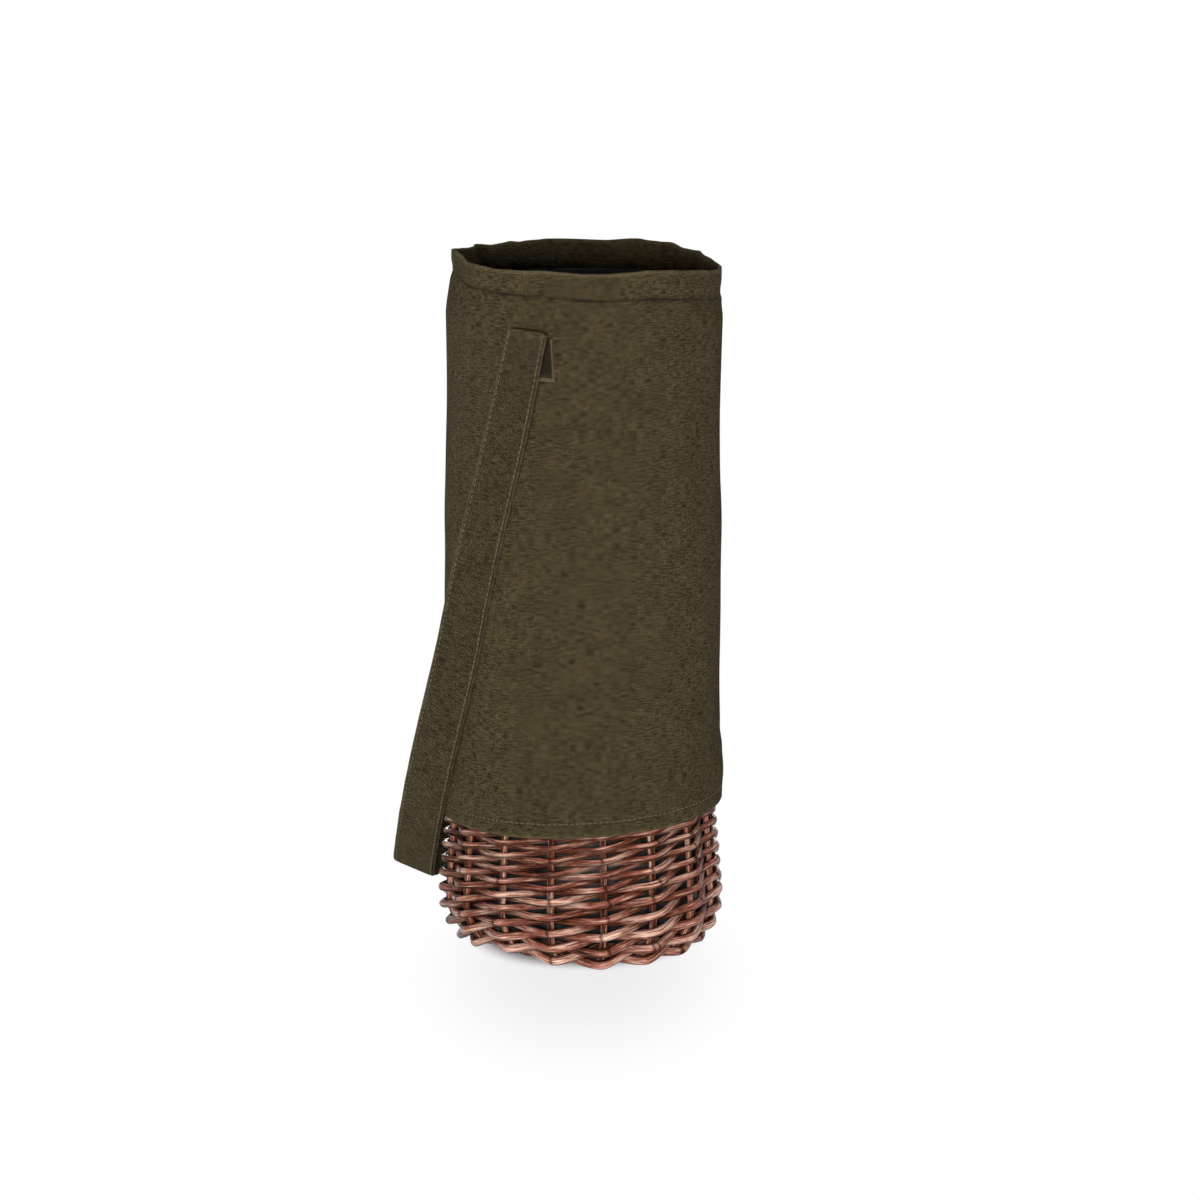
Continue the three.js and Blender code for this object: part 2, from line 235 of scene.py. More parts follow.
@dataclass(frozen=True)
class LacqueredWillow:
    """Peeled willow rods, boiled, stained red brown and dipped in clear lacquer.

    The stain gathers in the grain and dark cracks open at sharp bends. Shade is painted where
    rods lie behind or between others, and the lacquer gives small bright lights.
    """

    name: str = "lacquered_willow"
    dark: str = "2a0f09"
    middle: str = "a55c46"
    light: str = "ffd6be"
    # colour of the painted shade behind and between rods, and of the dark bend cracks
    crossing: str = "120604"
    bud: str = "140806"
    grain_width: float = 0.7
    grain_length: float = 9.0
    patch_length: float = 34.0
    bud_spacing: float = 11.0

    def material(self) -> bpy.types.Material:
        """Builds the material.

        Returns:
            The finished material, which reads the rods' own straight coordinates.
        """
        material, tree, shader = start_material(self.name)
        place = add_node(tree, "Attribute", attribute_name=ROD_PLACE).outputs["Vector"]
        grain = self._streaks(tree, place, self.grain_width, self.grain_length, 6.0)
        patch = self._streaks(tree, place, self.patch_length / 3, self.patch_length, 1.0)
        even = add_node(tree, "Mix", {0: 0.38}, {2: grain, 3: patch}, data_type="FLOAT").outputs[0]
        mixed = add_node(
            tree, "MapRange", {"From Min": 0.35, "From Max": 0.65}, {"Value": even}
        ).outputs["Result"]
        wood = add_node(
            tree, "ValToRGB", links={"Fac": mixed},
            stops=((0.1, self.dark), (0.5, self.middle), (0.88, self.light)),
        ).outputs["Color"]
        marked = add_node(
            tree, "Mix", {7: linear(self.bud)}, {0: self._buds(tree, place), 6: wood},
            data_type="RGBA",
        ).outputs[2]
        # painted shade behind, between and along the rods, with the bend cracks, mixed towards near
        # black; it also dulls the lacquer
        painted_shade_and_cracks = add_node(tree, "Attribute", attribute_name=PAINTED_SHADE_AND_CRACKS).outputs["Fac"]
        shade_and_crack_share = add_node(tree, "Math", {1: 0.88}, {0: painted_shade_and_cracks}, operation="MULTIPLY").outputs[0]
        lacquer = add_node(
            tree, "MapRange", {"From Min": 0.1, "From Max": 0.7, "To Min": 0.24, "To Max": 0.02},
            {"Value": painted_shade_and_cracks},
        ).outputs["Result"]
        shaded = add_node(
            tree, "Mix", {7: linear(self.crossing)}, {0: shade_and_crack_share, 6: marked}, data_type="RGBA"
        ).outputs[2]
        gloss = add_node(
            tree, "MapRange",
            {"From Min": 0.38, "From Max": 0.62, "To Min": 0.09, "To Max": 0.26}, {"Value": grain},
        ).outputs["Result"]
        relief = add_node(
            tree, "Bump", {"Strength": 1.0, "Distance": 0.36 * MM}, {"Height": grain}
        ).outputs["Normal"]
        tree.links.new(shaded, shader.inputs["Base Color"])
        tree.links.new(gloss, shader.inputs["Roughness"])
        tree.links.new(relief, shader.inputs["Normal"])
        tree.links.new(lacquer, shader.inputs["Specular IOR Level"])
        return material

    def _streaks(
        self,
        tree: bpy.types.NodeTree,
        place: bpy.types.NodeSocket,
        width: float,
        length: float,
        detail: float,
    ) -> bpy.types.NodeSocket:
        """Noise drawn out along the rod.

        Args:
            tree: The node tree.
            place: The rod's own coordinates.
            width: The streaks' width in millimetres.
            length: Their length in millimetres.
            detail: The noise's detail.

        Returns:
            A share from 0 to 1.
        """
        across, along = 1 / (width * MM), 1 / (length * MM)
        stretched = add_node(
            tree, "Mapping", {"Scale": (across, across, along)}, {"Vector": place}
        )
        streaks = add_node(
            tree, "TexNoise", {"Scale": 1.0, "Detail": detail, "Roughness": 0.6},
            {"Vector": stretched.outputs["Vector"]},
        )
        return streaks.outputs["Fac"]

    def _buds(
        self, tree: bpy.types.NodeTree, place: bpy.types.NodeSocket
    ) -> bpy.types.NodeSocket:
        """Dark specks where buds were, a few on each rod.

        Args:
            tree: The node tree.
            place: The rod's own coordinates.

        Returns:
            A share that is 1 on a bud.
        """
        spacing = 1 / (self.bud_spacing * MM)
        stretched = add_node(
            tree, "Mapping", {"Scale": (spacing * 5, spacing * 5, spacing)}, {"Vector": place}
        )
        cells = add_node(
            tree, "TexVoronoi", {"Scale": 1.0}, {"Vector": stretched.outputs["Vector"]}
        )
        speck = add_node(
            tree, "MapRange", {"From Min": 0.04, "From Max": 0.1, "To Min": 1.0, "To Max": 0.0},
            {"Value": cells.outputs["Distance"]},
        )
        return speck.outputs["Result"]


@dataclass(frozen=True)
class PlainWeave:
    """Washed cotton canvas in a plain weave, with slubs and pale flecks.

    Its threads are drawn a little coarser than real ones, so that the weave shows. Cotton fuzz
    gives a soft sheen at grazing angles, and folded edges are rubbed pale; on the strap's edges
    and folds that pale is also a painted highlight. Shade is painted in the hollows between the
    crossings, along the stitch grooves and under the strap's folds.
    """

    name: str
    dark: str
    middle: str
    light: str
    # pale colour of rubbed edges, on the strap's edges and folds also a painted highlight
    pale_wear_and_highlight: str
    thread: float = 0.66
    slub_length: float = 4.2
    fleck_size: float = 1.2
    fade_size: float = 14.0

    def material(self) -> bpy.types.Material:
        """Builds the material.

        Returns:
            The finished material, which reads the cloth's own flat coordinates.
        """
        material, tree, shader = start_material(self.name)
        place = add_node(tree, "UVMap", uv_map=CLOTH_MAP).outputs["UV"]
        warp = self._slubs(tree, place, (self.thread, self.slub_length))
        weft = self._slubs(tree, place, (self.slub_length, self.thread))
        over = self._crossings(tree, place)
        hills = self._hills(tree, place)
        threads = add_node(tree, "Mix", links={0: over, 2: warp, 3: weft}, data_type="FLOAT")
        flecks = add_node(
            tree, "TexNoise",
            {"Scale": 1 / (self.fleck_size * MM), "Detail": 4.0, "Roughness": 0.75},
            {"Vector": place},
        ).outputs["Fac"]
        spun = add_node(
            tree, "Mix", {0: 0.25}, {2: threads.outputs[0], 3: flecks}, data_type="FLOAT"
        ).outputs[0]
        raised = add_node(tree, "Mix", {0: 0.13}, {2: spun, 3: over}, data_type="FLOAT").outputs[0]
        fade = add_node(
            tree, "TexNoise", {"Scale": 1 / (self.fade_size * MM), "Detail": 3.0},
            {"Vector": place},
        ).outputs["Fac"]
        tone = add_node(
            tree, "Mix", {0: 0.08}, {2: raised, 3: fade}, data_type="FLOAT"
        ).outputs[0]
        dyed = add_node(
            tree, "ValToRGB", links={"Fac": tone},
            stops=((0.385, self.dark), (0.49, self.middle), (0.6, self.light)),
        ).outputs["Color"]
        # pale of rubbed edges, on the strap also a painted highlight
        wear_and_highlight = add_node(tree, "Attribute", attribute_name=WEAR_AND_HIGHLIGHT).outputs["Fac"]
        pale_wear_and_highlight = add_node(
            tree, "Mix", {2: 0.0}, {0: wear_and_highlight, 3: raised}, data_type="FLOAT"
        ).outputs[0]
        paled_colour = add_node(
            tree, "Mix", {7: linear(self.pale_wear_and_highlight)}, {0: pale_wear_and_highlight, 6: dyed}, data_type="RGBA"
        ).outputs[2]
        # painted shade in the hollows between the weave's crossings, and from the painted shade
        # attribute along stitch grooves and under folds; both darken the colour
        painted_valley_shade = add_node(
            tree, "MapRange", {"From Max": 0.35, "To Min": 0.3, "To Max": 0.0}, {"Value": hills}
        ).outputs["Result"]
        seam = add_node(tree, "Attribute", attribute_name=PAINTED_CLOTH_SHADE).outputs["Fac"]
        painted_shade_share = add_node(tree, "Math", links={0: painted_valley_shade, 1: seam}, operation="MAXIMUM").outputs[0]
        colour = add_node(
            tree, "Mix", {7: linear(self.dark)}, {0: painted_shade_share, 6: paled_colour}, data_type="RGBA"
        ).outputs[2]
        height = add_node(
            tree, "Math", {1: 0.6}, {0: threads.outputs[0], 2: hills},
            operation="MULTIPLY_ADD",
        ).outputs[0]
        relief = add_node(
            tree, "Bump", {"Strength": 0.8, "Distance": 0.3 * MM}, {"Height": height}
        ).outputs["Normal"]
        tree.links.new(colour, shader.inputs["Base Color"])
        tree.links.new(relief, shader.inputs["Normal"])
        shader.inputs["Roughness"].default_value = 0.92
        shader.inputs["Diffuse Roughness"].default_value = 1.0
        shader.inputs["Specular IOR Level"].default_value = 0.1
        shader.inputs["Sheen Weight"].default_value = 0.04
        shader.inputs["Sheen Roughness"].default_value = 0.5
        shader.inputs["Sheen Tint"].default_value = linear("b3a785")
        return material

    def _slubs(
        self,
        tree: bpy.types.NodeTree,
        place: bpy.types.NodeSocket,
        size: tuple[float, float],
    ) -> bpy.types.NodeSocket:
        """Thick and thin, light and dark stretches of the threads that run one way.

        Args:
            tree: The node tree.
            place: The cloth's own coordinates.
            size: A stretch's size across the cloth and along it, in millimetres.

        Returns:
            A share from 0 to 1.
        """
        scale = (1 / (size[0] * MM), 1 / (size[1] * MM), 1.0)
        drawn = add_node(tree, "Mapping", {"Scale": scale}, {"Vector": place})
        spun = add_node(
            tree, "TexNoise", {"Scale": 1.0, "Detail": 2.0, "Roughness": 0.7},
            {"Vector": drawn.outputs["Vector"]}, noise_dimensions="2D",
        )
        return spun.outputs["Fac"]

    def _crossings(
        self, tree: bpy.types.NodeTree, place: bpy.types.NodeSocket
    ) -> bpy.types.NodeSocket:
        """Which thread lies on top, which changes from crossing to crossing like a chequer.

        Args:
            tree: The node tree.
            place: The cloth's own coordinates.

        Returns:
            1 on one kind of crossing and 0 on the other.
        """
        chequer = add_node(
            tree, "TexChecker", {"Scale": 1 / (self.thread * MM)}, {"Vector": place}
        )
        return chequer.outputs["Fac"]

    def _hills(
        self, tree: bpy.types.NodeTree, place: bpy.types.NodeSocket
    ) -> bpy.types.NodeSocket:
        """The relief of the crossings, rounded by the threads' thickness.

        Args:
            tree: The node tree.
            place: The cloth's own coordinates.

        Returns:
            A height from 0 to 1.
        """
        parts = add_node(tree, "SeparateXYZ", links={"Vector": place})
        angle = math.pi / (self.thread * MM)
        waves = []
        for axis in ("X", "Y"):
            phase = add_node(
                tree, "Math", {1: angle}, {0: parts.outputs[axis]}, operation="MULTIPLY"
            ).outputs[0]
            waves.append(add_node(tree, "Math", links={0: phase}, operation="SINE").outputs[0])
        crossing = add_node(
            tree, "Math", links={0: waves[0], 1: waves[1]}, operation="MULTIPLY"
        ).outputs[0]
        return add_node(tree, "Math", links={0: crossing}, operation="ABSOLUTE").outputs[0]


@dataclass(frozen=True)
class CoatedLining:
    """One face of the insulating lining: coated polyester over foam, slightly crinkled."""

    name: str
    dark: str
    light: str
    roughness: float
    specular: float
    crinkle: float = 7.0

    def material(self) -> bpy.types.Material:
        """Builds the material.

        Returns:
            The finished material.
        """
        material, tree, shader = start_material(self.name)
        place = add_node(tree, "TexCoord").outputs["Object"]
        creases = add_node(
            tree, "TexNoise", {"Scale": 1 / (self.crinkle * MM), "Detail": 5.0, "Distortion": 0.6},
            {"Vector": place},
        ).outputs["Fac"]
        colour = add_node(
            tree, "ValToRGB", links={"Fac": creases}, stops=((0.3, self.dark), (0.7, self.light))
        ).outputs["Color"]
        relief = add_node(
            tree, "Bump", {"Strength": 0.6, "Distance": 0.5 * MM}, {"Height": creases}
        ).outputs["Normal"]
        tree.links.new(colour, shader.inputs["Base Color"])
        tree.links.new(relief, shader.inputs["Normal"])
        shader.inputs["Roughness"].default_value = self.roughness
        shader.inputs["Specular IOR Level"].default_value = self.specular
        return material


@dataclass(frozen=True)
class SewingThread:
    """Spun polyester sewing thread, two plies twisted, which gives short slanting lights."""

    name: str
    colour: str
    twist: float = 0.45

    def material(self) -> bpy.types.Material:
        """Builds the material.

        Returns:
            The finished material.
        """
        material, tree, shader = start_material(self.name)
        place = add_node(tree, "TexCoord").outputs["Object"]
        plies = add_node(
            tree, "TexWave", {"Scale": 1 / (self.twist * MM * 4), "Distortion": 0.5},
            {"Vector": place}, bands_direction="DIAGONAL",
        ).outputs["Fac"]
        dimmed = add_node(
            tree, "Mix", {6: linear(self.colour), 7: linear("1c1812")},
            {0: add_node(tree, "Math", {1: 0.35}, {0: plies}, operation="MULTIPLY").outputs[0]},
            data_type="RGBA",
        ).outputs[2]
        relief = add_node(
            tree, "Bump", {"Strength": 0.4, "Distance": 0.05 * MM}, {"Height": plies}
        ).outputs["Normal"]
        tree.links.new(dimmed, shader.inputs["Base Color"])
        tree.links.new(relief, shader.inputs["Normal"])
        shader.inputs["Roughness"].default_value = 0.6
        shader.inputs["Specular IOR Level"].default_value = 0.15
        return material


@dataclass(frozen=True)
class Finishes:
    """The materials that the pieces share."""

    willow: bpy.types.Material
    canvas: bpy.types.Material
    strap: bpy.types.Material
    film: bpy.types.Material
    lining: bpy.types.Material
    pale_thread: bpy.types.Material
    dark_thread: bpy.types.Material

    @classmethod
    def made(cls) -> "Finishes":
        """Builds every material once.

        Returns:
            The finished materials.
        """
        return cls(
            willow=LacqueredWillow().material(),
            canvas=PlainWeave("olive_canvas", "19140a", "2f2718", "655a3e", "7c7054").material(),
            strap=PlainWeave("strap_canvas", "18130a", "2c2518", "5d533a", "7f7459").material(),
            film=CoatedLining("slate_film", "15191b", "3a4245", 0.38, 0.35).material(),
            # inner face of the liner: black cloth, guessed, whose near black also paints the shade
            # inside the basket
            lining=CoatedLining("black_lining_and_shade", "121212", "2a2a29", 0.7, 0.1).material(),
            pale_thread=SewingThread("olive_thread", "786b4d").material(),
            dark_thread=SewingThread("brown_thread", "1a130c").material(),
        )


# Meshes


def finished_piece(
    name: str,
    shape: bmesh.types.BMesh,
    material: bpy.types.Material,
    body: str,
    replaces: tuple[str, ...] = (),
) -> bpy.types.Object:
    """Turns a shape in millimetres into a piece that rides on a body.

    Args:
        name: The piece's name.
        shape: Its bmesh, in millimetres, which is freed.
        material: Its finish.
        body: The body that it moves with.
        replaces: Nodes of the construction model that it stands for.

    Returns:
        The new object, with its place in its mesh.
    """
    bmesh.ops.scale(shape, vec=(MM, MM, MM), verts=shape.verts)
    for face in shape.faces:
        face.smooth = True
    mesh = bpy.data.meshes.new(name)
    shape.to_mesh(mesh)
    shape.free()
    piece = bpy.data.objects.new(name, mesh)
    bpy.context.scene.collection.objects.link(piece)
    mesh.materials.append(material)
    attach(piece, body)
    if replaces:
        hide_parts(*replaces)
    log.info("%s: %d faces", name, len(mesh.polygons))
    return piece


@dataclass
class Station:
    """A place on a rod's middle line.

    Attributes:
        place: The point, in millimetres.
        radius: The rod's radius there.
        painted_shade_and_cracks: Painted shade, 1 where the rod lies behind or between others.
    """

    place: Vector
    radius: float
    painted_shade_and_cracks: float = 0.0

    def towards(self, other: "Station", share: float) -> "Station":
        """The station a share of the way to another.

        Args:
            other: The station at a share of 1.
            share: How far along the way it is.

        Returns:
            A new station.
        """
        return Station(
            self.place.lerp(other.place, share),
            self.radius + (other.radius - self.radius) * share,
            self.painted_shade_and_cracks + (other.painted_shade_and_cracks - self.painted_shade_and_cracks) * share,
        )


def with_round_bends(stations: list[Station], reach: float = 2.6) -> list[Station]:
    """Cuts the corners of a path, which rounds its bends and keeps its straight stretches.

    Args:
        stations: The path.
        reach: How far from a corner the first cut starts, at most.

    Returns:
        The rounded path, with the same ends.
    """
    for nearer in BEND_CUTS:
        cut = [stations[0]]
        for near, far in zip(stations, stations[1:]):
            length = max((far.place - near.place).length, NO_LENGTH)
            share = min(LARGEST_CUT, reach / nearer / length)
            cut += [near.towards(far, share), near.towards(far, 1 - share)]
        stations = [*cut, stations[-1]]
    return stations


def evenly_spaced(stations: list[Station], step: float) -> list[Station]:
    """Walks along a path in equal steps.

    Args:
        stations: The path.
        step: The length of a step, about, in millimetres.

    Returns:
        New stations along the same path.
    """
    lengths = [0.0]
    for near, far in zip(stations, stations[1:]):
        lengths.append(lengths[-1] + (far.place - near.place).length)
    count = max(2, round(lengths[-1] / step))
    walked, index = [], 0
    for number in range(count + 1):
        goal = lengths[-1] * number / count
        while index < len(stations) - 2 and lengths[index + 1] < goal:
            index += 1
        stretch = max(lengths[index + 1] - lengths[index], NO_LENGTH)
        share = min(1.0, (goal - lengths[index]) / stretch)
        walked.append(stations[index].towards(stations[index + 1], share))
    return walked


def carried_frames(points: list[Vector], facing: Vector) -> list[Matrix]:
    """Frames along a path that turn with it and don't twist.

    Args:
        points: The path.
        facing: Where the frames' first axis points, as nearly as the path's start lets it.

    Returns:
        A matrix for each point: across, up and along the path, and the point itself.
    """
    frames = []
    last = len(points) - 1
    for i, point in enumerate(points):
        along = (points[min(i + 1, last)] - points[max(i - 1, 0)]).normalized()
        facing = (facing - along * facing.dot(along)).normalized()
        across = along.cross(facing)
        axes = Matrix((facing, across, along)).transposed()
        frames.append(Matrix.Translation(point) @ axes.to_4x4())
    return frames


def sweep(
    shape: bmesh.types.BMesh,
    frames: list[Matrix],
    section: Callable[[int, int], tuple[float, float]],
    sides: int,
) -> list[list[bmesh.types.BMVert]]:
    """Rolls a grid into a tube whose rings lie in the frames, and closes both ends.

    Args:
        shape: An empty mesh, which may have layers.
        frames: Where the rings lie.
        section: Gives a ring's point by the frame's and the side's number.
        sides: How many points a ring has.

    Returns:
        The points of each ring, in order.
    """
    steps = len(frames) - 1
    bmesh.ops.create_grid(shape, x_segments=sides, y_segments=steps, size=0.5)
    rings = [{} for _ in frames]
    for corner in shape.verts:
        side, step = round((corner.co.x + 0.5) * sides), round((corner.co.y + 0.5) * steps)
        rings[step][side] = corner
        corner.co = frames[step] @ Vector((*section(step, side % sides), 0.0))
    bmesh.ops.weld_verts(shape, targetmap={ring.pop(sides): ring[0] for ring in rings})
    open_edges = [edge for edge in shape.edges if edge.is_boundary]
    bmesh.ops.holes_fill(shape, edges=open_edges, sides=sides)
    bmesh.ops.recalc_face_normals(shape, faces=shape.faces)
    return [[ring[side] for side in range(sides)] for ring in rings]


@dataclass
class RodMaker:
    """Makes willow rods from stations, each with its own swellings, buds and tint."""

    sides: int = 12
    step: float = 1.3
    fullness: float = 1.17
    apart: float = 7000.0  # between the own coordinates of two rods, so that none look alike
    flat_depth: float = 0.07
    crease_shade_power: int = 3  # how narrow the painted shade line is where a rod lies on the next
    swellings: tuple[tuple[float, float, float], ...] = ((0.12, 19.0, 0.5), (0.05, 4.0, 2.5))
    bud_height: float = 0.09
    bud_length: float = 1.8
    stations_a_bud: int = 60
    end_rounding: tuple[float, ...] = (0.45, 0.8, 0.95)
    crack_angle: float = math.radians(4.5)
    crack_share: float = 0.16
    crack_depth: float = 0.95
    made: int = 0

    def rod(self, stations: list[Station], facing: Vector) -> bmesh.types.BMesh:
        """Makes one rod.

        Args:
            stations: Its middle line, with corners that are rounded here.
            facing: Where its first side points at its start.

        Returns:
            The rod, with the attributes that its finish reads.
        """
        self.made += 1
        path = evenly_spaced(with_round_bends(stations), self.step)
        start = self.made * self.apart
        radii = self._radii(path, start)
        cracked = self._cracks(path)
        around = [FULL_TURN * (side + 0.5) / self.sides for side in range(self.sides)]
        shape = bmesh.new()
        own = shape.verts.layers.float_vector.new(ROD_PLACE)
        painted_shade_and_cracks = shape.verts.layers.float.new(PAINTED_SHADE_AND_CRACKS)

        def section(step: int, side: int) -> tuple[float, float]:
            """A point of the section, which is round with soft flats along the rod.

            Args:
                step: The station's number.
                side: The side's number.

            Returns:
                The point in the station's frame.
            """
            flats = noise.noise(Vector((2 * math.cos(around[side]), step / 12, start + side / 5)))
            radius = radii[step] * (1 + self.flat_depth * flats)
            return radius * math.cos(around[side]), radius * math.sin(around[side])

        frames = carried_frames([station.place for station in path], facing)
        for step, ring in enumerate(sweep(shape, frames, section, self.sides)):
            for side, corner in enumerate(ring):
                corner[own] = Vector((*section(step, side), start + step * self.step)) * MM
                # painted shade on each rod's upper and lower sides, where it lies on its
                # neighbours, and dark bend cracks
                painted_crease_shade = abs(math.sin(around[side])) ** self.crease_shade_power
                corner[painted_shade_and_cracks] = max(path[step].painted_shade_and_cracks, painted_crease_shade, cracked[step])
        return shape

    def _cracks(self, path: list[Station]) -> list[float]:
        """Marks the bark-dark cracks that sharp bends open in a dry rod.

        Args:
            path: The rod's evenly spaced stations.

        Returns:
            For each station how dark it is, from 0 to 1.
        """
        chance = Random(self.made + 500)
        dark = [0.0] * len(path)
        for i in range(2, len(path) - 2):
            before = (path[i].place - path[i - 1].place).normalized()
            after = (path[i + 1].place - path[i].place).normalized()
            if before.angle(after) > self.crack_angle and chance.random() < self.crack_share:
                dark[i] = self.crack_depth
        return dark

    def _radii(self, path: list[Station], start: float) -> list[float]:
        """The rod's radius at each station, with swellings, buds and rounded ends.

        Args:
            path: The rod's evenly spaced stations.
            start: A number of its own, so that no two rods swell alike.

        Returns:
            Radii in millimetres.
        """
        chance = Random(self.made)
        buds = [chance.uniform(0, len(path)) for _ in range(len(path) // self.stations_a_bud)]
        radii = []
        for i, station in enumerate(path):
            swelling = sum(
                size * noise.noise(Vector((i * self.step / length, start, row)))
                for size, length, row in self.swellings
            )
            swelling += sum(
                self.bud_height * bump((i - bud) * self.step, self.bud_length) for bud in buds
            )
            from_end = min(i, len(path) - 1 - i)
            is_end = from_end < len(self.end_rounding)
            rounding = self.end_rounding[from_end] if is_end else 1.0
            radii.append(station.radius * self.fullness * (1 + swelling) * rounding)
        return radii


# Willow work


@dataclass
class WillowWork:
    """The round basket: stakes through the base and up the wall, woven in French rand."""

    stake_count: int = 16
    stake_phase: float = math.radians(8.9)
    stake_diameter: float = 3.1
    stake_tip: float = 2.8
    stake_sides: int = 6  # of the construction model's stakes, whose flats lie on the floor
    # painted shade on the stakes, which lie mostly behind the weavers
    stake_painted_shade: float = 0.35
    corner_steps: int = 8
    wall_steps: int = 3
    lower_rods: int = 3
    upper_rods: int = 5
    slath_reach: float = 10.5
    slath_end: float = 17.0
    wall_radius: float = 66.0
    corner_radius: float = 29.5
    corner_start: float = math.radians(42)
    wall_lean: float = 5.1
    lean_power: float = 1.1
    axis_shift: float = -0.7
    stake_top: float = 97.5
    butt: float = 3.85
    tip: float = 2.1
    weaver_stakes: int = 26
    weaver_foot: float = -2.0
    pass_share: float = 0.09
    end_share: float = 0.25
    border_passes: int = 2
    border_end_share: float = 0.45
    border_bend_share: float = 0.16
    border_bend: float = 2.0
    base_weaver: float = 2.0
    base_weaver_gap: float = 0.65
    base_weaver_start: float = 23.0
    base_weaver_stakes: int = 84
    base_weavers: int = 2
    base_weaver_sides: int = 5  # of the construction model's base weavers
    # painted shade on the base weavers, under the basket
    base_weaver_painted_shade: float = 0.4
    touch: float = 0.3
    rod_gap: float = 0.4
    viewer_right: float = math.radians(21.5)
    lift: float = 5.4
    lift_turn: float = math.radians(-106)
    lift_width: float = 0.45
    lift_reach: tuple[float, float] = (42.0, 62.0)
    lift_heights: tuple[float, float] = (4.0, 55.0)
    worn_flat: float = 0.05
    maker: RodMaker = field(default_factory=RodMaker)

    def __post_init__(self) -> None:
        """Works out the heights that the rods share."""
        flat = self.base_weaver / 2 * math.cos(math.pi / self.base_weaver_sides)
        self.base_offset = (self.stake_diameter + self.base_weaver) / 2 + self.base_weaver_gap
        self.stake_height = self.base_offset + flat
        self.corner_length = self.corner_radius * (math.pi / 2 - self.corner_start)
        self.wall_foot = self.stake_height + self.corner_radius * math.cos(self.corner_start)
        self.straight = self.stake_top - self.wall_foot + self.corner_length

    def build(self, finishes: Finishes) -> None:
        """Builds every rod.

        Args:
            finishes: The materials.
        """
        lower = self.stake_diameter / 2 * math.cos(math.pi / self.stake_sides)
        upper = lower + self.stake_diameter + self.touch
        layers = ((self.lower_rods, 0, lower), (self.upper_rods, self.stake_count // 4, upper))
        number = 0
        for rods, axis, height in layers:
            for i in range(rods):
                number += 1
                shape = self._stake_rod(axis, i - (rods - 1) / 2, height)
                self._piece("stake", number, shape, finishes, f"stake_rod_{number}")
        for i in range(self.stake_count):
            shape = self._weaver(i)
            self._piece("weaver", i + 1, shape, finishes, f"wall_weaver_{i + 1}")
        for i in range(self.base_weavers):
            shape = self._base_weaver(i)
            self._piece("base_weaver", i + 1, shape, finishes, f"base_weaver_{i + 1}")

    def _piece(
        self, kind: str, number: int, shape: bmesh.types.BMesh, finishes: Finishes, node: str
    ) -> None:
        """Finishes one rod, which stands for one node.

        Args:
            kind: What sort of rod it is.
            number: Its number among them.
            shape: The rod, which is freed.
            finishes: The materials.
            node: The construction model's node that it stands for.
        """
        name = f"willow_{kind}_{number}"
        for corner in shape.verts:
            corner.co.z = max(corner.co.z + self._lift(corner.co), self.worn_flat)
        aside = polar(self.axis_shift, self.viewer_right, 0)
        bmesh.ops.translate(shape, vec=aside, verts=shape.verts)
        finished_piece(name, shape, finishes.willow, "basket", (node,))

    def stake_turn(self, number: float) -> float:
        """The direction of a stake by its number, which may lie between two."""
        return self.stake_phase - math.pi / 2 + number * FULL_TURN / self.stake_count

    def wall_place(self, number: float, length: float, offset: float) -> Vector:
        """A point beside the wall's stakes.

        Args:
            number: The stake's number.
            length: How far up the corner and the wall, from where the base ends.
            offset: How far off the stakes' middle surface, outwards where positive.

        Returns:
            The point.
        """
        if length <= self.corner_length:
            turn = self.corner_start + length / self.corner_radius
            radius = self.wall_radius - self.corner_radius * (1 - math.sin(turn))
            height = self.wall_foot - self.corner_radius * math.cos(turn)
            radius += offset * math.sin(turn)
            return polar(radius, self.stake_turn(number), height - offset * math.cos(turn))
        rise = length - self.corner_length
        share = rise / (self.stake_top - self.wall_foot)
        radius = self.wall_radius - self.wall_lean * share**self.lean_power
        return polar(radius + offset, self.stake_turn(number), self.wall_foot + rise)

    def _border(self, number: float) -> list[Vector]:
        """The turned-down end of a stake: behind the next stake, in front of the one after.

        Args:
            number: The stake's number.

        Returns:
            The points of its middle line.
        """
        drop = self.stake_tip + self.rod_gap
        reach = self.stake_tip + self.touch

        def place(steps: float, offset: float) -> Vector:
            """A point some stakes along, and as much lower."""
            return self.wall_place(number + steps, self.straight - drop * steps, offset)

        points = [self.wall_place(number, self.straight - self.border_bend, 0)]
        points.append(place(self.border_bend_share, -reach / 4))
        for passed in range(1, self.border_passes + 1):
            side = Side.INSIDE if passed % 2 else Side.OUTSIDE
            for share in (-self.pass_share, self.pass_share):
                points.append(place(passed + share, side.value * reach))
        points.append(place(self.border_passes + self.border_end_share, 0))
        return points

    def _stake_half(self, number: float, crossing: Vector, height: float) -> list[Vector]:
        """Half a stake rod, from the crossing out to its end in the border.

        Args:
            number: The stake's number.
            crossing: Where the rod bends at the edge of the crossing.
            height: The height of its layer in the crossing.

        Returns:
            The points of its middle line.
        """
        points = []
        if crossing.length < self.slath_reach:
            points.append(Vector((crossing.x, crossing.y, height)))
        points.append(polar(self.slath_reach, self.stake_turn(number), height))
        points.append(polar(self.slath_end, self.stake_turn(number), self.stake_height))
        for step in range(self.corner_steps + 1):
            length = self.corner_length * step / self.corner_steps
            points.append(self.wall_place(number, length, 0))
        wall = self.stake_top - self.wall_foot - self.border_bend
        for step in range(1, self.wall_steps):
            length = self.corner_length + wall * step / self.wall_steps
            points.append(self.wall_place(number, length, 0))
        return points + self._border(number)

